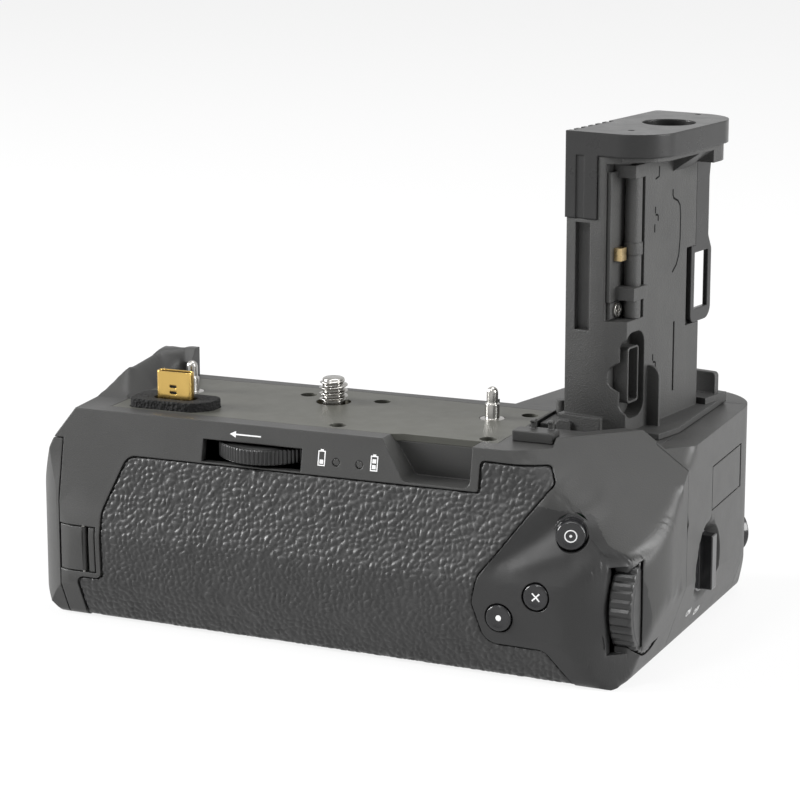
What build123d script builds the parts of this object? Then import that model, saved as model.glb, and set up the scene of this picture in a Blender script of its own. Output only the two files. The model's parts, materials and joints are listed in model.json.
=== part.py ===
"""Battery grip for a camera: a hollow casing that screws under the camera, with a
tower that goes up into the camera's battery bay, a sliding battery magazine and a
second set of hand controls.

Millimetres, +Z up. The origin is where the axis of the camera screw meets the top
face. X runs along the grip towards the hand end, Y towards the lens side.
"""
from build123d import *
import math
import os

# Fits shared by all pieces
skin_gap = 0.3          # between pieces that move past each other
seat_gap = 0.1          # between fixed pieces that lie against each other
running_gap = 0.05      # radial, a shaft in its bearing
overrun = 1.0           # how far a cut runs past the face it opens
reach = 250.0           # size of the blocks that divide the casing
headroom = 12.0         # how far the outlines rise above the top face before it is cut

# Casing, seen from above
left_reach = 61.5
right_reach = 85.5
right_reach_front = 83.0
rear_reach_left = 33.0
rear_reach_right = 37.5
front_reach = 14.0
hand_reach = 54.5
hand_start = 33.0
hand_shoulder = 42.0
rear_left_round = 16.0
rear_right_round = 20.4
hand_right_round = 16.0
hand_left_round = 12.0
hand_root_round = 8.0
front_left_round = 14.0

# Casing, seen from the end
body_height = 47.5
top_rear = 28.0
band_drop = 9.4
band_lean = 1.9
bulge_drop = 27.0
bulge_round = 9.0
skirt_drop = 38.0
skirt_round = 7.0
skirt_draw = 0.5
foot_draw_left = 5.5
foot_draw_right = 3.0
foot_round = 3.0
front_foot_round = 5.0
hand_foot_round = 10.0
wall = 2.0
roof_depth = 3.2

split_y = 2.0

# Casing ends, seen from the rear
left_crown_reach = 50.5
left_crown_y = 21.0
left_shoulder_reach = 55.7
left_shoulder_drop = 7.0
left_foot_reach = 55.0
left_sweep = 5.0
left_knee_round = 12.0
right_foot_reach = 79.5
right_knee_drop = 29.0
right_knee_round = 14.0
right_foot_round = 4.0
corner_cut = 82.0
corner_slope = 1.4

# Rim at the hand end and horn at the other end
rim_height = 1.6
rim_start = 60.0
rim_width = 2.2
hand_step = 2.0
hand_step_y = -5.5
hand_step_left = 48.4
horn_height = 6.5
horn_start_y = 16.0
horn_peak_y = 6.0
horn_inner = 43.5
horn_draft = 4.5
horn_front_y = 7.5
horn_fade = 3.0
horn_round = 6.0

# Top plate
plate_left = 43.2
plate_right = 48.0
plate_rear = 23.6
plate_front = 11.6
plate_thickness = 1.5
plate_bow = 1.8
plate_notch = 2.4
plate_screw_head = 1.75
plate_screw_shank = 0.9
plate_screw_sink = 0.9
plate_screw_length = 3.4
plate_head = 0.5
plate_screw_sites = ((-8.0, 4.2), (10.0, 4.2), (10.4, -20.6), (44.8, -19.8), (45.1, 4.3), (-40.6, -9.6))

# Finger recess in the rear edge
recess_left = 24.0
recess_left_foot = 29.5
recess_right = 44.5
recess_depth = 5.4
recess_drop = 8.6
recess_round = 1.6

# Door seam, hand end seam
door_seam = 52.2
door_drop = 6.6
end_seam_y = 6.0
end_cover_front = 42.0
end_cover_depth = 8.0

# Camera screw
screw_major = 6.35
screw_pitch = 1.27
screw_thread_depth = 0.78
screw_rise = 5.6
screw_nose = 0.9
screw_shaft_radius = 2.6
screw_hole_radius = 3.9
screw_collar_radius = 4.6
screw_collar = 0.8
screw_foot_step = 0.8
screw_edge = 0.45
screw_shoulder_foot = 0.2
thread_shares = (0.35, 0.5, 0.85)
bush_radius = 5.2

# Lock wheel and its gear train
wheel_x = 6.0
wheel_radius = 11.0
wheel_thickness = 3.6
wheel_drop = 6.3
wheel_lobe = 0.28
wheel_lobes = 6
wheel_ribs = 72
wheel_rib_depth = 0.22
slot_left = 18.0
slot_right = 5.7
slot_height = 4.9
gear_module = 0.5
gear_thickness = 1.6
wheel_teeth = 22
idler_teeth = 20
screw_teeth = 24
gear_lash = 0.12
gear_tip_share = 0.65
gear_root_share = 1.0
root_width_share = 0.62
tip_width_share = 0.36
wheel_crest_share = 0.45
wheel_valley_share = 0.72
wheel_hub = 3.2
gear_drop = 9.2
axle_radius = 1.2
deck_thickness = 1.2
deck_drop = 11.4
deck_left = 22.0
deck_right = 15.0
deck_rear = 26.2
deck_front = 10.0
deck_round = 2.0
deck_post_radius = 1.5
deck_post_sites = ((-20.0, -6.0), (13.0, -22.8), (12.5, 8.0), (-18.0, 8.0))

# Locating pins
pin_radius = 1.25
pin_rise = 7.0
pin_flange_radius = 2.7
pin_flange = 0.25
pin_root = 4.0
pin_step = 0.35
pin_step_rise = 3.4
pin_sites = ((38.4, -1.2), (-34.0, -2.5))

# Signal plug and its gasket
plug_x = -30.1
plug_y = -18.0
plug_width = 8.6
plug_depth = 2.7
plug_rise = 8.0
plug_wall = 0.35
plug_root = 2.4
plug_round_share = 0.42
plug_slot = 1.6
plug_slot_height = 0.5
plug_slot_rises = (3.0, 4.4)
plug_tongue_gap = 0.05
plug_tongue_wall = 0.45
tongue_drop = 0.9
tongue_floor = 2.0
plug_contact_width = 0.3
plug_contact_depth = 0.1
plug_contact_count = 8
gasket_left = 40.0
gasket_right = 20.6
gasket_rear = 22.6
gasket_front = 13.0
gasket_height = 2.0
gasket_round = 2.6
gasket_chamfer = 3.6
gasket_gap = 0.6

# Battery magazine
cell_length = 56.8
cell_width = 38.4
cell_height = 21.0
cell_gap = 0.4
tray_side = 0.6
tray_floor = 1.1
tray_end = 1.6
tray_middle = 1.2
tray_rear = 28.9
tray_start = 53.4
tray_round = 4.0
tray_top_drop = 16.6
tray_window_margin = 9.0
neck_rear = 20.0
neck_front = 3.0
neck_height = 5.0
terminal_width = 2.2
terminal_pitch = 3.4
terminal_height = 7.0
terminal_depth = 0.5
terminals = 4

# Magazine release knob
knob_radius = 8.2
knob_disc = 1.1
knob_grip_width = 3.0
knob_grip_height = 2.0
knob_grip_share = 0.96
knob_y = -8.0
knob_drop = 28.0
knob_shaft_radius = 2.0
knob_sink = 3.6
knob_boss = 1.8
knob_boss_rim = 1.8
latch_start = 54.9
latch_reach = 14.4
latch_width = 3.2
latch_thickness = 1.0
catch_gap = 0.4
catch_lip = 1.4
catch_lap = 1.8
catch_root = 3.0
catch_width = 5.0
catch_floor = 0.3

# Cord flap at the left end of the rear face
flap_right = 43.0
flap_strip = 1.7
flap_top_drop = 25.6
flap_foot_drop = 35.6
flap_thickness = 1.4
flap_pin_radius = 0.45
cord_slot_width = 4.6
cord_slot_height = 6.0
flap_pin_root = 0.9
flap_pin_sink = 0.4
flap_swing_gap = 0.6

# Rubber skins
rubber_thickness = 0.9
rubber_groove = 0.25
rear_depth = 20.0
rubber_corners = (
    (-36.0, -9.3), (46.6, -9.3), (46.6, -2.7), (60.8, -3.0), (62.8, -6.2), (48.6, -25.4),
    (47.4, -31.0), (50.6, -39.6), (63.6, -39.8), (69.4, -47.0), (69.4, -60.0), (-47.6, -60.0),
    (-47.6, -37.2), (-41.4, -37.2), (-41.4, -22.0),
)
rubber_rounds = [3.0, 0.8, 1.0, 1.6, 1.2, 4.0, 3.0, 4.0, 3.0, 1.0, 0, 0, 1.6, 1.6, 8.0]
rubber_wrap = 6.0
front_rubber_end = 53.6
front_rubber_start = 20.0
front_rubber_top = 5.0
front_rubber_foot = 60.0

# Collars behind the buttons and the ribs of the dials
button_collar = 0.8
button_collar_start = 0.7
rib_crest_share = 0.42
rib_foot_share = 0.56
rib_rise_share = 0.86
switch_well_height = 6.0
pin_fit = 0.02

# Tower
chin_y = 2.2
leg_thickness = 1.6
leg_side = 7.0
groove_top_gap = 0.9
holder_clear = 3.4
holder_rise = 3.5
notch_radius = 4.6
notch_bulge = 1.3
notch_z = 11.5
cap_overhang = 0.5
flange_inset = 1.0
flange_thickness = 1.0
lug_height = 3.8
lug_start = 28.7
gusset_height = 5.3
gusset_start = 22.0
cap_hole_sites = ((11.5, 6.8), (11.0, 38.8))
cap_rib_start = 1.6
loop_waist = 39.7
loop_waist_top = 37.0
loop_shoulder = 50.1
clip_hook = 0.6
tower_x = 54.9
tower_y = -1.0
tower_turn = 9.3
tower_top = 63.6
tower_width = 20.5
tower_depth = 40.8
cap_height = 5.0
cap_round = 9.3
cap_edge_round = 1.2
cap_leg_width = 7.3
cap_leg_foot = 45.2
cap_leg_proud = 0.3
cap_well_radius = 5.8
cap_well_x = 12.0
cap_well_y = 23.0
cap_well_depth = 2.2
cap_pin_radius = 0.7
cap_rib_pitch = 3.1
cap_rib_depth = 0.9
cap_ribs = 6
column_width = 9.3
slab_reach = 13.7
slab_start = 9.4
slab_end = 34.8
slab_foot_end = 35.5
slab_step = 18.8
groove_left = 2.2
groove_right = 5.7
groove_depth = 1.6
groove_foot = 21.2
bay_foot = 23.5
bay_top = 57.1
tower_wall = 1.6

# Tower fittings
hinge_plate_width = 7.4
hinge_plate_thickness = 0.8
hinge_plate_start = 0.6
hinge_plate_foot = 27.5
hinge_plate_top = 55.3
hinge_post_radius = 1.81
hinge_post_y = 7.25
hinge_collar = 0.25
hinge_collar_foot = 37.3
hinge_collar_height = 2.6
ear_near = 3.3
ear_far = 9.3
ear_reach = 14.6
ear_height = 2.8
lower_ear_foot = 27.8
upper_ear_foot = 54.0
spring_tab_width = 2.6
spring_tab_height = 2.8
spring_tab_z = 37.7
spring_tab_reach = 1.8
spring_tab_y = 3.6
bracket_screw_radius = 1.6
bracket_screw_z = 25.6
bracket_screw_y = 3.7
bracket_screw_length = 3.4
bracket_screw_head = 0.6
bracket_near = 1.0
bracket_foot = 23.9
bracket_top = 27.4
holder_top = 20.9
holder_foot = 2.2
holder_near = 1.6
holder_far = 10.2
holder_depth = 3.6
holder_round = 3.2
holder_window_near = 3.1
holder_window_far = 8.0
holder_window_top = 17.8
holder_window_foot = 5.5
holder_frame = 0.5
fin_y = 12.1
fin_thickness = 0.8
fin_reach = 2.9
fin_top = 12.5
fin_round = 2.4
loop_start = 31.7
loop_near = 12.6
loop_bar = 1.6
loop_neck = 33.6
loop_window_top = 33.9
loop_window_foot = 21.3
loop_foot = 18.4
loop_end = 41.3
loop_round = 2.8
loop_rest = 29.3
loop_thickness = 1.1
tower_contact_width = 1.2
tower_contact_height = 3.4
tower_contact_depth = 0.6
tower_contact_sites = (5.0, 8.4, 11.8, 15.2)
tower_board_thickness = 1.2
tower_duct_near = 13.0
tower_duct_far = 31.0
tower_duct_left = 2.4
tower_duct_right = 9.0
slit_near = 23.5
slit_far = 24.2
slit_foot = 4.7
slit_top = 20.1
slit_depth = 0.8

# Foot of the tower
base_near = 1.0
base_rise = -0.6
base_inset = 5.2
base_left = 48.7
base_right = 77.6
base_corner_width = 2.0
base_corner_depth = 8.0
collar_near = 1.2
collar_left = 0.9
collar_rise = 2.7
tab_width = 3.5
tab_rise = 1.4
tab_proud = 0.6
tab_round = 0.8
clip_left = 50.0
clip_right = 59.2
clip_rear = 19.6
clip_front = 15.4
clip_rise = 2.4
clip_post_rise = 2.0
clip_post = 1.2
clip_post_places = (53.0, 56.9)
guide_post_x = 49.9
guide_post_y = 11.4
guide_post_radius = 1.3
guide_post_rise = 2.6
stop_x = 73.3
stop_y = 39.3
stop_width = 7.2
stop_depth = 1.6
stop_turn = 14.0
stop_rise = 6.2
stop_pad_width = 9.0
stop_pad_near = 6.2
stop_pad_far = 2.8
stop_pad_rise = 1.4
stop_round = 0.9

# Charge lamps
lamp_radius = 0.8
lamp_drop = 6.0
lamp_sites = (13.8, 19.2)
lamp_length = 3.2
lamp_sink = 0.1
lamp_board_margin = 1.9
lamp_board_thickness = 0.8

# Rear buttons: name, place on the rear face, turn towards the hand end, radius
button_sites = (("focus_button", 67.8, -31.6, 15.5, 16.0, 3.1), ("lock_button", 62.0, -35.5, 28.2, 0.0, 2.8),
                ("point_button", 53.8, -35.5, 33.6, 0.0, 2.85))
button_travel = 0.8
button_proud = 1.2
button_seat = 1.2
button_flange = 0.6
button_flange_height = 0.6
button_bore = 5.4
button_edge = 0.35
dome_radius = 1.3
dome_height = 0.8
dome_gap = 0.1

# Rear dial, its axle along the grip
dial_x = 79.0
dial_y = -22.2
dial_drop = 30.7
dial_radius = 11.0
dial_thickness = 5.2
dial_ribs = 34
dial_rib_depth = 0.45
dial_slot_height = 18.6
dial_slot_depth = 8.0
dial_axle_radius = 1.2
dial_axle_root = 1.6
dial_cheek_near = 33.0
dial_cheek_far = 18.4
dial_cheek_height = 4.2

# Power switch at the hand end
switch_y = 12.0
switch_drop = 30.6
switch_well_radius = 9.6
switch_well_foot_radius = 7.4
switch_floor = 81.0
switch_boss_radius = 11.2
switch_boss_floor = 78.8
switch_radius = 6.8
switch_base = 1.0
switch_lever_length = 12.2
switch_lever_width = 3.2
switch_lever_height = 3.0
switch_shaft_radius = 1.6
switch_washer_radius = 2.8
switch_washer = 0.8

# Port and its cover at the hand end
port_near = 13.3
port_far = 36.3
port_top_drop = 9.9
port_foot_drop = 19.3
port_cover_thickness = 1.3
port_pin_radius = 0.4
port_pin_root = 1.2
port_width = 8.9
port_height = 3.2
port_wall = 0.35
port_frame = 1.2
port_round_share = 0.45
port_back = 77.4
port_pin_sink = 0.05
port_front_gap = 0.4
port_tongue = 0.8

# Hand controls on the lens side
shutter_angle = 50.0
shutter_drop = 34.0
shutter_radius = 4.8
shutter_travel = 1.0
shutter_proud = 1.6
function_drop = 22.5
function_radius = 2.5
front_dial_x = 63.0
front_dial_radius = 8.0
front_dial_thickness = 5.6
front_dial_drop = 26.0
front_dial_proud = 2.0
front_dial_ribs = 26
front_cheek_width = 3.4
front_cheek_depth = 9.6
front_cheek = 1.6

# Base, tripod socket and boards
base_thickness = 2.0
base_margin = 7.0
base_screw_radius = 2.2
base_screw_sink = 1.2
base_screw_length = 3.9
ledge_width = 4.5
ledge_thickness = 1.8
base_screw_sites = ((-42.0, -22.0), (-42.0, 3.0), (50.0, 42.0), (70.0, 42.0), (64.0, -25.0), (20.0, -24.0), (20.0, 3.0))
shank_share = 0.55
cross_share = 0.62
cross_width_share = 0.14
cross_depth_share = 0.35
socket_x = 0.0
socket_y = -8.0
socket_bore = 6.35
socket_radius = 5.6
socket_flange_radius = 8.0
socket_flange = 1.0
socket_depth = 6.4
socket_floor = 0.8
board_thickness = 1.2
main_board_drop = 13.6
main_board_left = 44.0
main_board_right = 30.0
main_board_rear = 22.0
main_board_front = 8.0
bulkhead_thickness = 1.4
bulkhead_gap = 1.6
bulkhead_notch_drop = 22.0
bulkhead_notch_y = 25.0
spring_contact_width = 2.0


def block(x0, x1, y0, y1, z0, z1):
    """Box between two corners."""
    return Pos((x0 + x1) / 2, (y0 + y1) / 2, (z0 + z1) / 2) * Box(x1 - x0, y1 - y0, z1 - z0)


def post(x, y, z0, z1, radius):
    """Upright cylinder between two heights."""
    return Pos(x, y, (z0 + z1) / 2) * Cylinder(radius, z1 - z0)


def rod(plane, radius, start, end):
    """Cylinder along a plane's normal, from one offset to another."""
    return plane * Pos(0, 0, (start + end) / 2) * Cylinder(radius, end - start)


def outline(corners, radii):
    """Flat face through corners, each with its own rounding."""
    return make_face(FilletPolyline(*corners, radius=radii, close=True))


def slab(face, z0, z1):
    """Flat face drawn in the ground plane, raised between two heights."""
    return Pos(0, 0, z0) * extrude(face, z1 - z0)


def rounded_box(x0, x1, y0, y1, z0, z1, radius):
    """Box with rounded upright edges."""
    corners = ((x0, y0), (x1, y0), (x1, y1), (x0, y1))
    return slab(outline(corners, [radius] * len(corners)), z0, z1)


def wall_outline(corners, radii, near, far):
    """Outline drawn in X and Z, carried along Y from near to far."""
    face = outline(corners, radii)
    return Plane.XZ.offset(-far) * extrude(face, far - near)


def end_outline(corners, radii, start, end):
    """Outline drawn in Y and Z, carried along X."""
    face = outline(corners, radii)
    return Plane.YZ.offset(start) * extrude(face, end - start)


def plan(inset):
    """Casing outline from above, drawn in by inset."""
    corners = (
        (-left_reach, -rear_reach_left),
        (right_reach, -rear_reach_right),
        (right_reach_front, hand_reach),
        (hand_shoulder, hand_reach),
        (hand_start, front_reach),
        (-left_reach, front_reach),
    )
    radii = [rear_left_round, rear_right_round, hand_right_round, hand_left_round,
             hand_root_round, front_left_round]
    face = outline(corners, radii)
    if inset:
        face = offset(face, -inset)
    return face


def end_section(x, bulge, foot_draw, front, front_round, inset):
    """Casing section across the grip at one place along it."""
    rear = top_rear - inset
    corners = (
        (-rear, headroom),
        (-rear, 0),
        (-rear - band_lean, -band_drop),
        (-bulge + inset, -bulge_drop),
        (-bulge + skirt_draw + inset, -skirt_drop),
        (-bulge + foot_draw + inset, -body_height + inset),
        (front - inset, -body_height + inset),
        (front - inset, headroom),
    )
    radii = [0, 0, 0, bulge_round, skirt_round, foot_round, front_round - inset, 0]
    return Plane.YZ.offset(x) * outline(corners, radii)


def long_section(front, front_round, inset):
    """Casing section carried along the grip, fuller towards the hand end."""
    left = end_section(-left_reach, rear_reach_left, foot_draw_left, front, front_round, inset)
    right = end_section(right_reach, rear_reach_right, foot_draw_right, front, front_round, inset)
    return loft([left, right], ruled=True)


def left_profile(inset):
    """Keeps what lies inside the swept left end."""
    rise = left_shoulder_reach - left_crown_reach
    corners = (
        (-left_crown_reach + headroom * rise / left_shoulder_drop + inset, headroom),
        (-left_shoulder_reach + inset, -left_shoulder_drop),
        (-left_reach - overrun + inset, -bulge_drop),
        (-left_reach - overrun + inset, -skirt_drop),
        (-left_foot_reach + inset, -body_height),
        (reach, -body_height),
        (reach, headroom),
    )
    radii = [0, left_knee_round, left_knee_round, foot_round, 0, 0, 0]
    solid = wall_outline(corners, radii, -reach, reach)
    pivot = Pos(-left_crown_reach, -left_crown_y, 0)
    return pivot * Rot(0, 0, left_sweep) * pivot.inverse() * solid


def right_profile(inset):
    """Keeps what lies inside the tucked foot of the hand end."""
    corners = (
        (-reach, headroom),
        (-reach, -body_height),
        (right_foot_reach - inset, -body_height),
        (right_reach - inset, -right_knee_drop),
        (right_reach - inset, headroom),
    )
    radii = [0, 0, right_foot_round, right_knee_round, 0]
    return wall_outline(corners, radii, -reach, reach)


def corner_block(inset):
    """Block that slopes off the rear corner at the hand end."""
    cut_line = corner_cut - inset * math.sqrt(2 + corner_slope ** 2)
    plane = Plane(origin=(cut_line / 2, -cut_line / 2, 0), z_dir=(1, -1, corner_slope))
    return plane * Pos(0, 0, reach / 2) * Box(reach, reach, reach)


def envelope(inset, roof):
    """Whole outer form of the casing, drawn in by inset, up to a roof height."""
    footprint = slab(plan(inset), -body_height, roof)
    trunk = long_section(front_reach, front_foot_round, inset)
    hand = long_section(hand_reach, hand_foot_round, inset)
    hand_zone = block(hand_start - wall, reach, -reach, reach, -reach, reach)
    form = footprint & (trunk + (hand & hand_zone))
    form = form & left_profile(inset) & right_profile(inset)
    return form - corner_block(inset)


def horn():
    """Guard at the left end that rises beside the camera, with drafted inner faces."""
    crown = envelope(0, horn_height) & block(-reach, -horn_inner + horn_fade, -horn_start_y, reach, 0, horn_height)
    ramp = end_outline(
        ((-horn_start_y, 0), (-horn_peak_y, horn_height), (front_reach, horn_height), (front_reach, 0)),
        [0, horn_round, 0, 0], -reach, 0)
    foot = Pos(0, 0, 0) * make_face(Polyline(
        (-horn_inner, -reach), (reach, -reach), (reach, horn_front_y), (-horn_inner + horn_fade, horn_front_y),
        (-horn_inner, horn_front_y - horn_draft), close=True))
    top = Pos(0, 0, horn_height) * make_face(Polyline(
        (-horn_inner - horn_draft, -reach), (reach, -reach), (reach, horn_front_y + horn_draft),
        (-horn_inner, horn_front_y + horn_draft), (-horn_inner - horn_draft, horn_front_y), close=True))
    return (crown & ramp) - loft([foot, top], ruled=True)


def rim():
    """Raised edge of the rear wall at the hand end."""
    ring = envelope(0, rim_height) - envelope(rim_width, reach)
    zone = block(rim_start, reach, -reach, hand_step_y, 0, rim_height)
    return ring & zone


def rear_outline(margin):
    """Outline of the rear rubber, drawn in X and Z, wider by margin."""
    face = outline(rubber_corners, rubber_rounds)
    if margin:
        face = offset(face, margin)
    return face


def rear_patch(margin, near, far):
    """The rubber's outline carried through the rear wall."""
    return Plane.XZ.offset(-far) * extrude(rear_outline(margin), far - near)


def rear_pocket():
    """Recess in the rear wall that the rubber lies in."""
    return rear_patch(rubber_groove, -reach, -rear_depth) - envelope(rubber_thickness, 0)


def front_patch(margin):
    """Zone of the hand end's front that the front rubber covers."""
    return block(hand_shoulder - rubber_wrap - margin, front_rubber_end + margin, front_rubber_start - margin, reach,
                 -front_rubber_foot - margin, -front_rubber_top + margin)


def front_pocket():
    """Recess in the front wall that the front rubber lies in."""
    return front_patch(rubber_groove) - envelope(rubber_thickness, 0)


def plate_outline(margin):
    """Outline of the top plate, wider by margin."""
    corners = (
        (-plate_left - margin, -plate_rear - margin),
        (recess_left - margin, -plate_rear - margin),
        (recess_left + plate_notch - margin, -top_rear + recess_depth - margin + seat_gap),
        (recess_right + margin, -top_rear + recess_depth - margin + seat_gap),
        (plate_right + margin, -top_rear + recess_depth - margin + seat_gap),
        (plate_right + margin, plate_front - plate_bow + margin),
        (0, plate_front + margin),
        (-plate_left - margin, plate_front - plate_bow + margin),
    )
    return make_face(Polyline(*corners, close=True))


def door_zone(gap):
    """Space of the magazine door at the left end."""
    return block(-reach, -door_seam - gap, -reach, reach, -reach, -door_drop - gap)


def end_zone(gap):
    """Space of the cover at the hand end."""
    return block(right_reach - end_cover_depth + gap, reach, -end_seam_y + gap, end_cover_front - gap, -reach, reach)


def base_zone(gap):
    """Space of the base plate in the underside."""
    face = offset(plan(0), -base_margin + gap)
    cut = block(-reach, -door_seam + base_margin - gap, -reach, reach, -reach, reach)
    return slab(face, -body_height, -body_height + base_thickness + gap) - cut


def base_ledge():
    """Ledge inside the casing that the base plate is screwed against."""
    foot = -body_height + base_thickness
    ring = slab(plan(wall / 2), foot, foot + ledge_thickness) - slab(
        offset(plan(0), -base_margin - ledge_width), foot - overrun, foot + ledge_thickness + overrun)
    zone = block(-door_seam + base_margin, reach, -reach, reach, -reach, reach)
    ledge = ring & zone & envelope(wall / 2, 0)
    for x, y in base_screw_sites:
        ledge -= post(x, y, -reach, reach, base_screw_radius * shank_share + seat_gap)
    return ledge


def recess():
    """Finger recess in the rear edge, seen from the rear."""
    corners = (
        (recess_left, headroom),
        (recess_left, 0),
        (recess_left_foot, -recess_drop),
        (recess_right, -recess_drop),
        (recess_right, headroom),
    )
    return wall_outline(corners, [0, 0, recess_round, recess_round, 0], -reach, -top_rear + recess_depth)


def wheel_axis():
    """Place of the lock wheel's axle, as far from the screw as the gears need."""
    span = gear_module * (wheel_teeth + 2 * idler_teeth + screw_teeth) / 2
    return -wheel_x, -math.sqrt(span ** 2 - wheel_x ** 2)


def idler_axis():
    """Place of the idler, on the line from the wheel to the screw."""
    x, y = wheel_axis()
    span = wheel_teeth + 2 * idler_teeth + screw_teeth
    share = (screw_teeth + idler_teeth) / span
    return x * share, y * share


def wheel_slot():
    """Slot of the lock wheel through the rear wall."""
    return block(-slot_left, slot_right, -reach, -top_rear + wall + overrun,
                 -wheel_drop - slot_height / 2, -wheel_drop + slot_height / 2)


def lamp_plane(x):
    """Plane on the rear band, facing out, at a charge lamp."""
    lean = band_lean * lamp_drop / band_drop
    return Plane(origin=(x, -top_rear - lean, -lamp_drop), z_dir=(0, -1, 0))


def button_plane(x, y, drop, turn):
    """Plane of a rear button, facing out of the casing."""
    angle = math.radians(turn)
    across = (math.cos(angle), math.sin(angle), 0)
    return Plane(origin=(x, y, -drop), x_dir=across, z_dir=(math.sin(angle), -math.cos(angle), 0))


def button_hole(plane, radius):
    """Stepped hole that a button sits in, flange side inside."""
    opening = rod(plane, radius + skin_gap, -button_seat - overrun, reach / 2)
    return opening + rod(plane, radius + button_flange + skin_gap, -button_bore, -button_seat)


def dial_slot():
    """Slot of the rear dial through the corner."""
    half = dial_thickness / 2 + skin_gap
    slot = block(dial_x - half, dial_x + half, -reach, dial_y - dial_slot_depth,
                 -dial_drop - dial_slot_height / 2, -dial_drop + dial_slot_height / 2)
    axis = Plane(origin=(dial_x, dial_y, -dial_drop), z_dir=(1, 0, 0))
    return slot + rod(axis, dial_radius + skin_gap, -half, half)


def flap_zone(gap):
    """Space of the cord flap at the left end of the rear face."""
    return block(-door_seam + skin_gap - gap, -flap_right + gap, -reach, -rear_depth,
                 -flap_foot_drop - gap, -flap_top_drop + gap)


def cord_slot():
    """Way for the cord of a dummy battery, behind the flap."""
    x = -flap_right - flap_strip - cord_slot_width / 2 - overrun
    z = -(flap_top_drop + flap_foot_drop) / 2
    return block(x - cord_slot_width / 2, x + cord_slot_width / 2, -reach, -rear_depth,
                 z - cord_slot_height / 2, z + cord_slot_height / 2)


def port_zone(gap):
    """Space of the port cover at the hand end."""
    return block(switch_floor, reach, port_near - gap, port_far + gap, -port_foot_drop - gap, -port_top_drop + gap)


def port_place():
    """Middle of the port, across and up."""
    return (port_near + port_far) / 2, -(port_top_drop + port_foot_drop) / 2


def port_box(width, height, start, end):
    """Rounded bar along X at the port, of a plug's outline."""
    y, z = port_place()
    corners = ((y - width / 2, z - height / 2), (y + width / 2, z - height / 2),
               (y + width / 2, z + height / 2), (y - width / 2, z + height / 2))
    return end_outline(corners, [height * port_round_share] * len(corners), start, end)


def corner_centre():
    """Middle of the rounding at the front corner of the hand end."""
    lean = (right_reach - right_reach_front) * hand_right_round / (hand_reach + rear_reach_right)
    return right_reach_front - hand_right_round + lean, hand_reach - hand_right_round


def shutter_plane(drop):
    """Plane on the front corner, facing out, where the hand's finger rests."""
    angle = math.radians(shutter_angle)
    x, y = corner_centre()
    out = Vector(math.cos(angle), math.sin(angle), 0)
    start = Vector(x, y, -drop) + out * hand_right_round
    return Plane(origin=start, x_dir=(-out.Y, out.X, 0), z_dir=out)


def front_dial_axis():
    """Place of the front dial's axle."""
    return front_dial_x, hand_reach - front_dial_radius + front_dial_proud


def front_dial_slot():
    """Slot of the front dial through the front of the hand end."""
    x, y = front_dial_axis()
    half = front_dial_thickness / 2 + skin_gap
    return post(x, y, -front_dial_drop - half, -front_dial_drop + half, front_dial_radius + skin_gap)


def casing_cuts():
    """Every opening of the casing wall."""
    cuts = wheel_slot() + cord_slot()
    for x in lamp_sites:
        cuts += rod(lamp_plane(x), lamp_radius + seat_gap, -lamp_length, reach / 2)
    cuts += post(0, 0, -headroom, headroom, bush_radius + seat_gap)
    for x, y in pin_sites:
        cuts += post(x, y, -headroom, headroom, pin_radius + pin_step + seat_gap)
    for x, y in plate_screw_sites:
        cuts += post(x, y, -headroom, headroom, plate_screw_shank + seat_gap)
    cuts += plug_body(seat_gap, -headroom, headroom)
    x, y = flap_pin_place()
    cuts += post(x, y, -flap_foot_drop - skin_gap, -flap_top_drop + skin_gap, flap_thickness / 2 + skin_gap)
    cuts += post(x, y, -flap_foot_drop - flap_pin_root, -flap_top_drop + flap_pin_root, flap_pin_radius + pin_fit)
    cuts += tower_place() * block(tower_duct_left, tower_duct_right, tower_duct_near, tower_duct_far,
                                  -headroom, headroom)
    return cuts


def button_places():
    """Plane, radius and travel of every button."""
    places = [(button_plane(x, y, drop, turn), radius, button_travel)
              for name, x, y, drop, turn, radius in button_sites]
    places.append((shutter_plane(shutter_drop), shutter_radius, shutter_travel))
    places.append((shutter_plane(function_drop), function_radius, shutter_travel))
    return places


def control_cuts():
    """Holes and slots of the hand controls."""
    cuts = dial_slot() + front_dial_slot()
    for plane, radius, travel in button_places():
        cuts += button_hole(plane, radius)
    return cuts


def control_mounts():
    """Cheeks of the two dials and collars of the buttons, inside the casing."""
    half = dial_thickness / 2 + skin_gap
    z0, z1 = -dial_drop - dial_cheek_height, -dial_drop + dial_cheek_height
    cheeks = block(dial_x - half - dial_axle_root, dial_x + half + dial_axle_root,
                   -dial_cheek_near, -dial_cheek_far, z0, z1)
    x, y = front_dial_axis()
    half = front_dial_thickness / 2 + skin_gap
    cheeks += block(x - front_cheek_width, x + front_cheek_width, hand_reach - front_cheek_depth, hand_reach,
                    -front_dial_drop - half - front_cheek, -front_dial_drop + half + front_cheek)
    for plane, radius, travel in button_places():
        outer = radius + button_flange + skin_gap + button_collar
        cheeks += rod(plane, outer, -button_bore, -button_collar_start)
    return cheeks & envelope(wall / 2, -wall)


def dial_axle(gap):
    """Pin of the rear dial, wider by a gap."""
    half = dial_thickness / 2 + skin_gap + dial_axle_root
    axis = Plane(origin=(dial_x, dial_y, -dial_drop), z_dir=(1, 0, 0))
    return rod(axis, dial_axle_radius + gap, -half, half)


def front_dial_axle(gap):
    """Pin of the front dial, wider by a gap."""
    x, y = front_dial_axis()
    half = front_dial_thickness / 2 + skin_gap + front_cheek
    return post(x, y, -front_dial_drop - half, -front_dial_drop + half, dial_axle_radius + gap)


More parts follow.
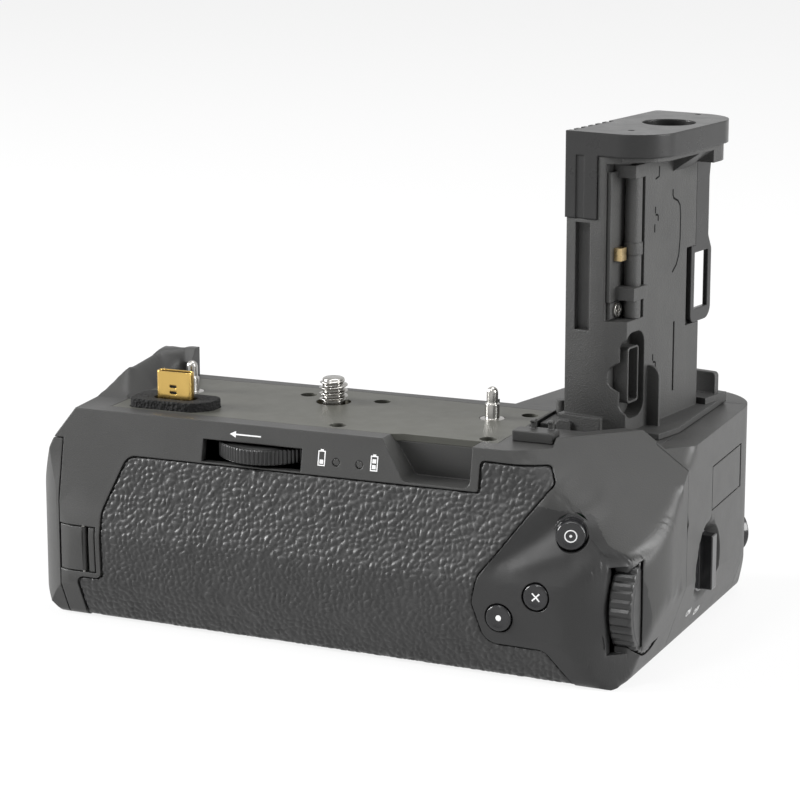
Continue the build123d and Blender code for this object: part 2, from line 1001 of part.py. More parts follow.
def casing():
    """Casing wall all round, with its seats and openings, before it is divided."""
    form = envelope(0, 0) + horn() + rim()
    hand_top = block(hand_step_left, reach, hand_step_y, reach, -hand_step, headroom)
    hand_top += block(hand_start, reach, front_reach, reach, -hand_step, headroom)
    form = form - hand_top - envelope(wall, -roof_depth)
    form = form - slab(plate_outline(seat_gap), -plate_thickness, headroom)
    form = form - recess() + recess_lining()
    form = form - rear_pocket() - front_pocket()
    form = form + base_ledge() - base_zone(seat_gap)
    form = form - (flap_zone(skin_gap) - envelope(flap_thickness + seat_gap, headroom))
    form = form + control_mounts() - tray_way() - control_cuts() - dial_axle(pin_fit) - front_dial_axle(pin_fit)
    return form - casing_cuts()


def tray_way():
    """Space that the tray slides through."""
    y = -tray_rear
    foot = -tray_top_drop - cell_height - cell_gap - tray_floor
    return block(-door_seam - skin_gap, -tray_start + tray_length(), y - skin_gap, y + tray_width() + skin_gap,
                 foot - skin_gap, -tray_top_drop + skin_gap)


def tray_width():
    """Width of the tray: one cell between its side walls."""
    return cell_width + cell_gap + 2 * tray_side


def recess_lining():
    """Wall behind the finger recess."""
    shell = block(recess_left - wall, recess_right + wall, -reach, -top_rear + recess_depth + wall,
                  -recess_drop - wall, -roof_depth + overrun)
    return (shell & envelope(0, 0)) - recess()


def split_casing():
    """Rear shell, front shell, end cover's wall and door's wall, cut from one casing."""
    form = casing()
    rear_zone = block(-reach, reach, -reach, split_y, -reach, reach)
    rear_zone += block(-reach, -horn_inner + horn_fade, -reach, reach, -door_drop, reach)
    front_zone = block(-reach, reach, split_y + seat_gap, reach, -reach, reach)
    front_zone -= block(-reach, -horn_inner + horn_fade + seat_gap, -reach, reach, -door_drop - seat_gap, reach)
    door = form & door_zone(skin_gap)
    cover = form & end_zone(0)
    rest = form - door_zone(0) - end_zone(-seat_gap)
    return rest & rear_zone, rest & front_zone, cover, door


def rear_shell(wall_form):
    """Rear half of the casing with the catch of the magazine latch."""
    return wall_form + latch_catch()


def latch_catch():
    """Tongue on the casing floor with a lip that stands before the lowered latch."""
    floor = -knob_drop - latch_reach - catch_gap
    foot = -body_height + wall
    y0, y1 = knob_y - catch_width / 2, knob_y + catch_width / 2
    tip = latch_start + catch_gap
    tongue = block(-tip - catch_lip, -door_seam + catch_root, y0, y1, foot + catch_floor, floor)
    lip = block(-tip - catch_lip, -tip, y0, y1, floor - overrun, floor + catch_gap + catch_lap)
    root = block(-door_seam + skin_gap, -door_seam + catch_root, y0, y1, foot - catch_floor, floor)
    return ((tongue + lip) & envelope(wall + skin_gap, 0)) + root


def base_plate():
    """Plate that closes the underside, with holes for its screws and socket."""
    form = base_zone(0)
    form -= post(socket_x, socket_y, -reach, reach, socket_radius + seat_gap)
    for x, y in base_screw_sites:
        form -= base_screw(x, y, seat_gap)
    return form


def base_screw(x, y, gap):
    """Countersunk screw of the base plate."""
    foot = -body_height
    head = post(x, y, foot - gap, foot + base_screw_sink + gap, base_screw_radius + gap)
    return head + post(x, y, foot, foot + base_screw_length, base_screw_radius * shank_share + gap)


def base_screws():
    """All screws of the base plate, with a slotted cross in each head."""
    group = []
    for x, y in base_screw_sites:
        group.append(base_screw(x, y, 0) - cross(x, y, -body_height, base_screw_radius))
    return Compound(children=group)


def cross(x, y, z, radius):
    """Cross recess of a screw head whose face is at height z."""
    arm = radius * cross_share
    width = radius * cross_width_share
    depth = radius * cross_depth_share
    bars = block(x - arm, x + arm, y - width, y + width, z - depth, z + depth)
    return bars + block(x - width, x + width, y - arm, y + arm, z - depth, z + depth)


def tripod_socket():
    """Metal socket in the base for a tripod screw, its flange inside."""
    foot = -body_height
    inner = foot + base_thickness + seat_gap
    form = post(socket_x, socket_y, inner, inner + socket_flange, socket_flange_radius)
    form += post(socket_x, socket_y, foot, foot + socket_depth, socket_radius)
    return form - post(socket_x, socket_y, foot - overrun, foot + socket_depth - socket_floor, socket_bore / 2)


def top_plate():
    """Metal plate that meets the camera's base."""
    form = slab(plate_outline(0), -plate_thickness, 0)
    form -= post(0, 0, -headroom, headroom, screw_hole_radius)
    for x, y in plate_screw_sites:
        form -= plate_screw(x, y, seat_gap)
    for x, y in pin_sites:
        form -= post(x, y, -headroom, headroom, pin_radius + pin_step + seat_gap)
        form -= post(x, y, -pin_flange, headroom, pin_flange_radius + seat_gap)
    return form - slab(gasket_outline(seat_gap), -headroom, headroom)


def plate_screw(x, y, gap):
    """Small screw of the top plate, its head sunk below the face."""
    head = post(x, y, -plate_screw_sink - plate_head - gap, headroom * (gap > 0) - plate_screw_sink, plate_screw_head + gap)
    return head + post(x, y, -plate_screw_length, -plate_screw_sink, plate_screw_shank + gap)


def top_screws():
    """All screws of the top plate."""
    group = []
    for x, y in plate_screw_sites:
        group.append(plate_screw(x, y, 0) - cross(x, y, -plate_screw_sink, plate_screw_head))
    return Compound(children=group)


def locating_pins():
    """Two stepped steel pins with round noses and thin flanges."""
    group = []
    for x, y in pin_sites:
        pin = post(x, y, -pin_root, pin_rise - pin_radius, pin_radius)
        pin += Pos(x, y, pin_rise - pin_radius) * Sphere(pin_radius)
        pin += post(x, y, -pin_flange, 0, pin_flange_radius)
        group.append(pin + post(x, y, -pin_root, pin_step_rise, pin_radius + pin_step))
    return Compound(children=group)


def screw_thread_start(turns):
    """Height where the thread starts above the screw's plain shoulder."""
    return screw_rise - screw_nose - turns * screw_pitch


def camera_screw():
    """Screw that holds the grip to the camera, with its collar and gear."""
    turns = int((screw_rise - screw_nose) / screw_pitch)
    root = screw_major / 2 - screw_thread_depth
    foot = screw_shaft_radius - screw_foot_step
    profile = [(0, -deck_drop - deck_thickness), (foot, -deck_drop - deck_thickness),
               (foot, -deck_drop + skin_gap), (screw_shaft_radius, -deck_drop + skin_gap),
               (screw_shaft_radius, screw_shoulder_foot), (screw_major / 2, screw_shoulder_foot)]
    start = screw_thread_start(turns)
    profile.append((screw_major / 2, start))
    for turn in range(turns):
        z = start + turn * screw_pitch
        rises = [z + screw_pitch * share for share in thread_shares]
        profile += [(root, z), (screw_major / 2, rises[0]), (screw_major / 2, rises[1]), (root, rises[2])]
    profile += [(root, screw_rise - screw_nose), (screw_major / 2, screw_rise - screw_nose + screw_edge),
                (screw_major / 2 - screw_edge, screw_rise), (0, screw_rise)]
    form = revolve(Plane.XZ * make_face(Polyline(*profile, close=True)), Axis.Z)
    form += post(0, 0, -roof_depth - skin_gap - screw_collar, -roof_depth - skin_gap, screw_collar_radius)
    return form + gear(0, 0, screw_teeth, screw_phase())


def meshed(phase, teeth, next_teeth, angle):
    """Turn of the next gear whose gap meets a tooth of this one, in the direction of an angle."""
    here = (angle - phase) * teeth / (2 * math.pi)
    return angle + math.pi - (1 / 2 - here) * 2 * math.pi / next_teeth


def gear_line():
    """Direction from the lock wheel to the screw."""
    x, y = wheel_axis()
    return math.atan2(-y, -x)


def idler_phase():
    """Turn of the idler against the lock wheel's gear."""
    return meshed(0, wheel_teeth, idler_teeth, gear_line())


def screw_phase():
    """Turn of the screw's gear against the idler."""
    return meshed(idler_phase(), idler_teeth, screw_teeth, gear_line())


def screw_bush():
    """Plain bearing of the camera screw in the casing's roof."""
    return post(0, 0, -roof_depth, -plate_thickness - seat_gap, bush_radius) - post(
        0, 0, -headroom, headroom, screw_shaft_radius + running_gap)


def gear(x, y, teeth, phase):
    """Small spur gear, its teeth drawn as straight-sided steps."""
    pitch = gear_module * teeth / 2
    tip = pitch + gear_module * gear_tip_share
    root = pitch - gear_module * gear_root_share
    step = 2 * math.pi / teeth
    lash = gear_lash / pitch
    points = []
    for tooth in range(teeth):
        middle = tooth * step + phase
        for radius, share in ((root, root_width_share), (tip, tip_width_share)):
            points.append((radius, middle - step * share / 2 + lash / 2))
        for radius, share in ((tip, tip_width_share), (root, root_width_share)):
            points.append((radius, middle + step * share / 2 - lash / 2))
    corners = [(x + radius * math.cos(angle), y + radius * math.sin(angle)) for radius, angle in points]
    face = make_face(Polyline(*corners, close=True))
    return slab(face, -gear_drop - gear_thickness / 2, -gear_drop + gear_thickness / 2)


def lock_wheel():
    """Knurled wheel that drives the camera screw through its own gear."""
    x, y = wheel_axis()
    points = []
    for rib in range(wheel_ribs):
        angle = 2 * math.pi * rib / wheel_ribs
        lobe = wheel_lobe * math.cos(wheel_lobes * angle)
        for share, depth in ((0, 0), (wheel_crest_share, 0), (wheel_valley_share, wheel_rib_depth)):
            turn = angle + 2 * math.pi * share / wheel_ribs
            radius = wheel_radius - wheel_lobe + lobe - depth
            points.append((x + radius * math.cos(turn), y + radius * math.sin(turn)))
    face = make_face(Polyline(*points, close=True))
    form = slab(face, -wheel_drop - wheel_thickness / 2, -wheel_drop + wheel_thickness / 2)
    form += gear(x, y, wheel_teeth, 0)
    form += post(x, y, -gear_drop, -wheel_drop, wheel_hub)
    return form - post(x, y, -headroom, headroom, axle_radius + running_gap)


def idler_gear():
    """Gear between the lock wheel and the screw."""
    x, y = idler_axis()
    form = gear(x, y, idler_teeth, idler_phase())
    return form - post(x, y, -headroom, headroom, axle_radius + running_gap)


def gear_axles():
    """Pins that the lock wheel and the idler turn on."""
    foot = -deck_drop - deck_thickness
    x, y = wheel_axis()
    long_pin = post(x, y, foot, -roof_depth - seat_gap, axle_radius)
    x, y = idler_axis()
    return Compound(children=[long_pin, post(x, y, foot, -gear_drop + gear_thickness / 2, axle_radius)])


def drive_deck():
    """Plate under the gears that carries their pins, hung on posts from the roof."""
    form = rounded_box(-deck_left, deck_right, -deck_rear, deck_front, -deck_drop - deck_thickness, -deck_drop, deck_round)
    for x, y in deck_post_sites:
        form += post(x, y, -main_board_drop + seat_gap, -roof_depth - seat_gap, deck_post_radius)
    for x, y in (wheel_axis(), idler_axis()):
        form -= post(x, y, -reach, reach, axle_radius + running_gap / 2)
    return form - post(0, 0, -reach, reach, screw_shaft_radius - screw_foot_step + running_gap)


def plug_outline(width, depth):
    """Outline of the signal plug, with round ends."""
    x0, x1 = plug_x - width / 2, plug_x + width / 2
    y0, y1 = plug_y - depth / 2, plug_y + depth / 2
    corners = ((x0, y0), (x1, y0), (x1, y1), (x0, y1))
    return outline(corners, [depth * plug_round_share] * len(corners))


def plug_body(gap, z0, z1):
    """Plug's outline between two heights, wider by a gap."""
    return slab(plug_outline(plug_width + 2 * gap, plug_depth + 2 * gap), z0, z1)


def signal_plug():
    """Gold plated shell of the signal plug, with spring slots."""
    form = plug_body(0, -plug_root, plug_rise)
    form -= plug_body(-plug_wall, -plug_root + plug_wall, plug_rise + overrun)
    for rise in plug_slot_rises:
        form -= block(plug_x - plug_slot / 2, plug_x + plug_slot / 2, plug_y - plug_depth, plug_y,
                      rise, rise + plug_slot_height)
    return form


def plug_tongue():
    """Black insulator inside the plug."""
    form = plug_body(-plug_wall - plug_tongue_gap, -plug_root + plug_wall, plug_rise - tongue_drop)
    well = plug_body(-plug_wall - plug_tongue_gap - plug_tongue_wall, tongue_floor, plug_rise)
    return form - well


def plug_contacts():
    """Gold contact strips inside the plug, on the insulator's inner faces."""
    group = []
    inner = plug_depth / 2 - plug_wall - plug_tongue_gap - plug_tongue_wall
    pitch = (plug_width - plug_depth) / plug_contact_count
    for index in range(plug_contact_count):
        x = plug_x + (index - (plug_contact_count - 1) / 2) * pitch
        for side in (-1, 1):
            y = plug_y + side * (inner - plug_contact_depth / 2)
            group.append(block(x - plug_contact_width / 2, x + plug_contact_width / 2, y - plug_contact_depth / 2,
                               y + plug_contact_depth / 2, tongue_floor, plug_rise - tongue_drop - plug_contact_width))
    return Compound(children=group)


def gasket_outline(margin):
    """Outline of the gasket, wider by margin."""
    left, right = -gasket_left - margin, -gasket_right + margin
    rear, front = -gasket_rear - margin, -gasket_front + margin
    corners = ((left, rear), (right - gasket_chamfer, rear), (right, rear + gasket_chamfer), (right, front), (left, front))
    return outline(corners, [gasket_round] * len(corners))


def plug_gasket():
    """Foam ring round the plug, standing on the casing in a cut-out of the top plate."""
    form = slab(gasket_outline(0), -plate_thickness, gasket_height)
    return form - plug_body(gasket_gap, -headroom, gasket_height + overrun)


def charge_lamps():
    """Clear light pipes of the two charge lamps."""
    return Compound(children=[rod(lamp_plane(x), lamp_radius, -lamp_length, -lamp_sink) for x in lamp_sites])


def lamp_board():
    """Small board behind the charge lamps."""
    x0, x1 = lamp_sites[0] - lamp_board_margin, lamp_sites[1] + lamp_board_margin
    y = lamp_plane(0).origin.Y + lamp_length + seat_gap
    return block(x0, x1, y, y + lamp_board_thickness, -lamp_drop - lamp_board_margin, -roof_depth - seat_gap)


def rear_rubber():
    """Leather-grained rubber over the rear wall."""
    skin = envelope(0, 0) - envelope(rubber_thickness, headroom)
    return (rear_patch(0, -reach, -rear_depth) & skin) - base_zone(rubber_groove)


def front_rubber():
    """Rubber over the front of the hand end."""
    skin = envelope(0, 0) - envelope(rubber_thickness, headroom)
    return (front_patch(0) & skin) - base_zone(rubber_groove)


def cord_flap():
    """Cover of the cord slot, with the barrel of its hinge."""
    skin = envelope(0, 0) - envelope(flap_thickness, headroom)
    strip = flap_right + flap_strip
    zone = block(-door_seam + skin_gap, -strip, -reach, -rear_depth, -flap_foot_drop, -flap_top_drop)
    x, y = flap_pin_place()
    form = (skin & zone) - block(x, reach, -reach, reach, -reach, reach)
    form += post(x, y, -flap_foot_drop, -flap_top_drop, flap_thickness / 2)
    return form - post(x, y, -reach, reach, flap_pin_radius + running_gap)


def flap_pin_place():
    """Place of the cord flap's hinge pin."""
    x = -flap_right - flap_strip - flap_thickness / 2 - flap_swing_gap
    along = (x + left_reach) / (right_reach + left_reach)
    bulge = rear_reach_left + (rear_reach_right - rear_reach_left) * along
    return x, -bulge + flap_thickness / 2 + flap_pin_sink


def flap_pin():
    """Pin of the cord flap's hinge."""
    x, y = flap_pin_place()
    return post(x, y, -flap_foot_drop - flap_pin_root, -flap_top_drop + flap_pin_root, flap_pin_radius)


def flap_edge():
    """Fixed edge of the cord flap, set into the rear shell."""
    skin = envelope(0, 0) - envelope(flap_thickness, headroom)
    zone = block(-flap_right - flap_strip + skin_gap, -flap_right, -reach, -rear_depth, -flap_foot_drop, -flap_top_drop)
    return skin & zone


def knob_plane():
    """Plane on the left end, facing out, at the release knob."""
    return Plane(origin=(-left_reach, knob_y, -knob_drop), x_dir=(0, 1, 0), z_dir=(-1, 0, 0))


def magazine_door(wall_form):
    """Door of the magazine: the left end of the casing, with a well for the knob."""
    plane = knob_plane()
    boss = rod(plane, knob_radius + skin_gap + knob_boss_rim, -knob_sink - knob_boss, reach) & envelope(0, 0)
    form = wall_form + boss
    form -= rod(plane, knob_radius + skin_gap, -knob_sink, reach)
    return form - rod(plane, knob_shaft_radius + running_gap, -reach, reach)


def release_knob():
    """Turning knob of the magazine with its shaft and latch arm."""
    plane = knob_plane()
    form = rod(plane, knob_radius, -knob_sink + skin_gap, -knob_sink + skin_gap + knob_disc)
    grip_foot = -knob_sink + skin_gap + knob_disc
    grip = Box(knob_grip_width, 2 * knob_radius * knob_grip_share, knob_grip_height)
    form += plane * Pos(0, 0, grip_foot + knob_grip_height / 2) * grip
    start = left_reach - latch_start
    form += rod(plane, knob_shaft_radius, -start - latch_thickness, -knob_sink + skin_gap)
    arm = block(-latch_start, -latch_start + latch_thickness, knob_y, knob_y + latch_reach,
                -knob_drop - latch_width / 2, -knob_drop + latch_width / 2)
    return form + arm


def tray_length():
    """Length of the tray: two cells end to end with their contacts and walls."""
    return 2 * (cell_length + cell_gap + terminal_depth) + 2 * tray_end + tray_middle


def tray_bays():
    """The two battery spaces of the tray as start and end along the grip."""
    first = -tray_start + tray_end
    long = cell_length + cell_gap + terminal_depth
    return (first, first + long), (first + long + tray_middle, first + 2 * long + tray_middle)


def magazine_tray():
    """Open tray that holds two batteries end to end."""
    top = -tray_top_drop
    foot = top - cell_height - cell_gap - tray_floor
    far = -tray_rear + tray_width()
    form = rounded_box(-tray_start, -tray_start + tray_length(), -tray_rear, far, foot, top, tray_round)
    for start, stop in tray_bays():
        form -= block(start, stop, -tray_rear + tray_side, far - tray_side, foot + tray_floor, top + overrun)
        form -= rounded_box(start + tray_window_margin, stop - tray_window_margin, -tray_rear + tray_window_margin,
                            far - tray_window_margin, foot - overrun, top, tray_round)
    neck = block(-left_reach, -tray_start + overrun, -neck_rear, neck_front, top - neck_height, top)
    boss = rod(knob_plane(), knob_radius + skin_gap + knob_boss_rim + seat_gap, -reach, reach)
    return form + ((neck & envelope(wall + seat_gap, 0)) - (boss & block(-reach, -latch_start, -reach, reach, -reach, reach)))


def magazine_contacts():
    """Contact blades at the inner end of each battery space."""
    group = []
    z = -tray_top_drop - cell_height / 2
    middle = -tray_rear + tray_side + (cell_width + cell_gap) / 2
    for start, stop in tray_bays():
        for index in range(terminals):
            y = middle + (index - (terminals - 1) / 2) * terminal_pitch
            group.append(block(stop - terminal_depth, stop, y - terminal_width / 2, y + terminal_width / 2,
                               z - terminal_height / 2, z + terminal_height / 2))
    return Compound(children=group)


def bay_bulkhead():
    """Wall inside the casing at the end of the magazine's way."""
    x = -tray_start + tray_length() + bulkhead_gap
    foot = -body_height + base_thickness + ledge_thickness + seat_gap
    zone = block(x, x + bulkhead_thickness, -reach, front_reach - wall, foot, -roof_depth - seat_gap)
    form = zone & envelope(wall + seat_gap, 0)
    notch = block(x - overrun, x + bulkhead_thickness + overrun, -reach, -bulkhead_notch_y,
                  -bulkhead_notch_drop, headroom)
    return form - notch


def bay_contacts():
    """Spring contacts on the bulkhead that meet the tray."""
    x = -tray_start + tray_length() + bulkhead_gap
    middle = -tray_rear + tray_side + (cell_width + cell_gap) / 2
    z = -tray_top_drop - cell_height / 2
    group = []
    for index in range(terminals):
        y = middle + (index - (terminals - 1) / 2) * terminal_pitch
        group.append(block(x - bulkhead_gap + skin_gap, x, y - spring_contact_width / 2, y + spring_contact_width / 2,
                           z - terminal_height / 2, z + terminal_height / 2))
    return Compound(children=group)


def main_board():
    """Circuit board under the drive deck."""
    form = rounded_box(-main_board_left, main_board_right, -main_board_rear, main_board_front,
                       -main_board_drop - board_thickness, -main_board_drop, deck_round)
    return form


def rear_button(name, x, y, drop, turn, radius):
    """Round push button with a retaining flange behind the wall."""
    return push_button(button_plane(x, y, drop, turn), radius, button_proud)


def push_button(plane, radius, proud):
    """Button whose cap stands proud of the wall and whose flange stays behind it."""
    top = -button_seat - skin_gap
    cap = rod(plane, radius - button_edge, top, proud) + rod(plane, radius, top, proud - button_edge)
    return cap + rod(plane, radius + button_flange, top - button_flange_height, top)


def dome_depth(travel):
    """Depth of a snap dome's crown behind the button plane."""
    return button_seat + skin_gap + button_flange_height + travel + dome_gap


def button_domes():
    """Snap domes behind the buttons."""
    group = []
    for plane, radius, travel in button_places():
        crown = -dome_depth(travel)
        group.append(rod(plane, dome_radius, crown - dome_height, crown))
    return Compound(children=group)


def control_boards():
    """Round boards that close the button collars and carry the domes."""
    group = []
    for plane, radius, travel in button_places():
        face = -dome_depth(travel) - dome_height
        disc = rod(plane, radius + button_flange + skin_gap - seat_gap, face - board_thickness, face)
        group.append(disc - tray_way())
    return Compound(children=group)


def ribbed_disc(radius, ribs, depth, width):
    """Disc along Z with ribs round its rim, middle at the origin."""
    points = []
    for rib in range(ribs):
        for share, drop in ((0, 0), (rib_crest_share, 0), (rib_foot_share, depth), (rib_rise_share, depth)):
            angle = 2 * math.pi * (rib + share) / ribs
            points.append(((radius - drop) * math.cos(angle), (radius - drop) * math.sin(angle)))
    return slab(make_face(Polyline(*points, close=True)), -width / 2, width / 2)


def rear_dial():
    """Ribbed thumb dial on the rear corner."""
    disc = ribbed_disc(dial_radius, dial_ribs, dial_rib_depth, dial_thickness)
    axis = Plane(origin=(dial_x, dial_y, -dial_drop), z_dir=(1, 0, 0))
    return axis * disc - dial_axle(running_gap)


def front_dial():
    """Ribbed finger dial on the lens side."""
    disc = ribbed_disc(front_dial_radius, front_dial_ribs, dial_rib_depth, front_dial_thickness)
    x, y = front_dial_axis()
    return Pos(x, y, -front_dial_drop) * disc - front_dial_axle(running_gap)


def switch_axis():
    """Plane at the power switch, facing out of the hand end."""
    return Plane(origin=(0, switch_y, -switch_drop), x_dir=(0, 1, 0), z_dir=(1, 0, 0))


def hand_end_cover(wall_form):
    """Cover of the hand end with the switch well and the port's frame."""
    axis = switch_axis()
    boss = rod(axis, switch_boss_radius, switch_boss_floor, reach) & envelope(0, 0)
    form = wall_form + boss
    well = Pos(0, 0, switch_floor + switch_well_height / 2) * Cone(
        switch_well_foot_radius, switch_well_radius, switch_well_height)
    form -= axis * well
    form -= rod(axis, switch_shaft_radius + running_gap, 0, reach)
    frame = port_box(port_width + 2 * port_frame, port_height + 2 * port_frame, port_back + port_frame, reach)
    form = form + (frame & envelope(port_cover_thickness, headroom))
    form -= port_zone(skin_gap) - envelope(port_cover_thickness + seat_gap, headroom)
    x, y = port_pin_place()
    form -= post(x, y, -port_foot_drop - skin_gap, -port_top_drop + skin_gap, port_cover_thickness / 2 + skin_gap)
    form -= port_pin(pin_fit)
    shell = port_width + 2 * port_wall + 2 * seat_gap
    return form - port_box(shell, port_height + 2 * port_wall + 2 * seat_gap, 0, reach)


def power_switch():
    """Turning switch: disc, lever, shaft and the washer that keeps it in."""
    axis = switch_axis()
    foot = switch_floor + skin_gap
    form = rod(axis, switch_radius, foot, foot + switch_base)
    lever = block(-switch_lever_width / 2, switch_lever_width / 2, -switch_lever_length / 2, switch_lever_length / 2,
                  foot, foot + switch_base + switch_lever_height)
    form += axis * lever
    form += rod(axis, switch_shaft_radius, switch_boss_floor - skin_gap - switch_washer, foot)
    return form + rod(axis, switch_washer_radius, switch_boss_floor - skin_gap - switch_washer,
                      switch_boss_floor - skin_gap)


def port_pin_place():
    """Place of the port cover's hinge pin."""
    y = port_far - port_cover_thickness / 2
    along = (y + rear_reach_right) / (hand_reach + rear_reach_right)
    x = right_reach - (right_reach - right_reach_front) * along
    return x - port_cover_thickness / 2 - port_pin_sink, y


def port_pin(gap):
    """Pin of the port cover's hinge, wider by a gap."""
    x, y = port_pin_place()
    return post(x, y, -port_foot_drop - port_pin_root, -port_top_drop + port_pin_root, port_pin_radius + gap)


def port_cover():
    """Hinged cover of the port with its barrel."""
    x, y = port_pin_place()
    skin = envelope(0, 0) - envelope(port_cover_thickness, headroom)
    form = (skin & port_zone(0)) - block(-reach, reach, y, reach, -reach, reach)
    form += post(x, y, -port_foot_drop, -port_top_drop, port_cover_thickness / 2)
    return form - port_pin(running_gap)


def charge_port():
    """Metal socket behind the port cover with its tongue."""
    front = right_reach_front - port_cover_thickness - port_front_gap
    shell = port_box(port_width + 2 * port_wall, port_height + 2 * port_wall, port_back, front)
    hollow = port_box(port_width, port_height, port_back + port_wall, reach)
    y, z = port_place()
    tongue = block(port_back, front - port_front_gap, y - port_width / 4, y + port_width / 4,
                   z - port_tongue / 2, z + port_tongue / 2)
    return shell - hollow + tongue


def shutter_button():
    """Shutter button on the front corner."""
    return push_button(shutter_plane(shutter_drop), shutter_radius, shutter_proud)


def function_button():
    """Small button above the shutter button."""
    return push_button(shutter_plane(function_drop), function_radius, button_proud)


def tower_place():
    """Frame of the tower: its near left corner, turned a little."""
    return Pos(tower_x, tower_y, 0) * Rot(0, 0, -tower_turn)


def tower_outline(far):
    """Full outline of the tower's lower part, up to its far side."""
    return make_face(Polyline((0, 0), (column_width, 0), (slab_reach, chin_y), (slab_reach, far), (0, far), close=True))


def tower_frame():
    """Column and slab of the tower on its foot plate, hollow for the wires."""
    top = tower_top - cap_height
    foot = -hand_step + seat_gap
    form = slab(tower_outline(slab_end), foot, top) + slab(tower_outline(slab_foot_end), foot, slab_step)
    form -= block(column_width, reach, -reach, slab_start, bay_foot, bay_top)
    form -= block(-overrun, cap_leg_width + seat_gap, -overrun, leg_thickness - cap_leg_proud + seat_gap,
                  cap_leg_foot - seat_gap, reach)
    form -= block(-overrun, leg_thickness - cap_leg_proud + seat_gap, -overrun, leg_side + seat_gap,
                  cap_leg_foot - seat_gap, reach)
    form -= block(groove_left, groove_right, -overrun, groove_depth, groove_foot, cap_leg_foot - groove_top_gap)
    form += cap_flange()
    form -= block(loop_near - seat_gap, reach, loop_rest, reach, loop_foot - seat_gap,
                  loop_window_top + loop_bar + seat_gap)
    form -= block(loop_near - seat_gap, reach, loop_neck - seat_gap, reach, loop_foot - seat_gap, top - lug_height)
    form -= block(loop_near - seat_gap, loop_near + loop_thickness + seat_gap, loop_neck - seat_gap, reach,
                  loop_foot - seat_gap, reach)
    form += collar()
    form += fin()
    form = tower_place() * form
    form += foot_plate()
    form -= tower_place() * tower_hollow()
    form -= tower_place() * holder_pocket(0)
    screw_line = Plane(origin=(0, bracket_screw_y, bracket_screw_z), z_dir=(1, 0, 0))
    form -= tower_place() * rod(screw_line, bracket_screw_radius * shank_share + seat_gap, tower_wall, reach)
    return form - tower_place() * block(slab_reach - slit_depth, reach, slit_near, slit_far, slit_foot, slit_top)


def tower_hollow():
    """Wire duct inside the tower, open below and above."""
    near = groove_depth + tower_wall
    top = tower_top
    duct = block(tower_wall, column_width - tower_wall, near, slab_start + tower_wall, -hand_step - overrun, top)
    duct += block(tower_wall, slab_reach - tower_wall, slab_start + holder_clear, loop_start - tower_wall,
                  base_rise + tower_wall, top)
    duct -= block(column_width - tower_wall * 2, reach, -reach, holder_far + tower_wall, -reach, bay_foot)
    return duct + block(tower_duct_left, tower_duct_right, tower_duct_near, tower_duct_far, -reach, base_rise + tower_wall * 2)


def holder_pocket(gap):
    """Pocket in the slab for the camera's contact cover, with a thumb notch."""
    corners = ((holder_near - gap, holder_foot - gap), (holder_far + gap, holder_foot - gap),
               (holder_far + gap, holder_top + gap), (holder_near - gap, holder_top + gap))
    radii = [holder_round] * len(corners)
    form = end_outline(corners, radii, slab_reach - holder_depth, reach)
    notch = Plane(origin=(0, holder_near + notch_radius - notch_bulge, notch_z), z_dir=(1, 0, 0))
    return form + rod(notch, notch_radius, slab_reach - holder_depth, reach)


def contact_cover_holder():
    """Thin frame in the pocket that keeps the camera's contact cover."""
    corners = ((holder_window_near, holder_window_foot), (holder_window_far, holder_window_foot),
               (holder_window_far, holder_window_top), (holder_window_near, holder_window_top))
    start = slab_reach - holder_depth
    form = end_outline(corners, [holder_frame * 2] * len(corners), start, start + holder_rise)
    inner = end_outline(
        ((holder_window_near + holder_frame, holder_window_foot + holder_frame),
         (holder_window_far - holder_frame, holder_window_foot + holder_frame),
         (holder_window_far - holder_frame, holder_window_top - holder_frame),
         (holder_window_near + holder_frame, holder_window_top - holder_frame)),
        [holder_frame] * len(corners), start + holder_frame, reach)
    return tower_place() * (form - inner)


def fin():
    """Guide fin on the slab with a rounded top corner."""
    corners = ((slab_reach - overrun, base_rise - overrun), (slab_reach + fin_reach, base_rise - overrun),
               (slab_reach + fin_reach, fin_top), (slab_reach - overrun, fin_top))
    return wall_outline(corners, [0, 0, fin_round, 0], fin_y - fin_thickness / 2, fin_y + fin_thickness / 2)


def collar():
    """Collar round the column's foot with a raised tab."""
    foot = -hand_step + seat_gap
    form = block(-collar_left, column_width, -collar_near, slab_start, foot, collar_rise)
    tab = wall_outline(((-collar_left, foot), (tab_width - collar_left, foot), (tab_width - collar_left, tab_rise),
                        (-collar_left, tab_rise)), [0, 0, tab_round, tab_round], -collar_near - tab_proud, 0)
    return form + tab


def foot_plate():
    """Plate under the tower that covers the top of the hand end, with its stop and guide post."""
    face = offset(plan(0), -base_inset)
    corners = ((base_left, base_near), (base_right - base_corner_width, base_near),
               (base_right, base_near + base_corner_depth), (base_right, reach), (base_left, reach))
    zone = slab(make_face(Polyline(*corners, close=True)), -reach, reach)
    form = slab(face, -hand_step + seat_gap, base_rise) & zone
    form += post(guide_post_x, guide_post_y, -hand_step + seat_gap, guide_post_rise, guide_post_radius)
    pad = block(-stop_pad_width / 2, stop_pad_width / 2, -stop_pad_near, stop_pad_far,
                base_rise - stop_round, base_rise + stop_pad_rise)
    half = stop_width / 2
    corners = ((-half, base_rise), (half, base_rise), (half, base_rise + stop_rise), (-half, base_rise + stop_rise))
    stop = pad + wall_outline(corners, [0, 0, stop_round, stop_round], -stop_depth / 2, stop_depth / 2)
    return form + Pos(stop_x, stop_y, 0) * Rot(0, 0, -stop_turn) * stop


def cap_outline(inset):
    """Outline of the cap, drawn in by inset."""
    width = tower_width + cap_overhang
    corners = ((-cap_leg_proud, -cap_leg_proud), (width, -cap_leg_proud), (width, tower_depth),
               (-cap_leg_proud, tower_depth))
    face = outline(corners, [cap_edge_round, cap_round, cap_round, cap_edge_round])
    if inset:
        face = offset(face, -inset)
    return face


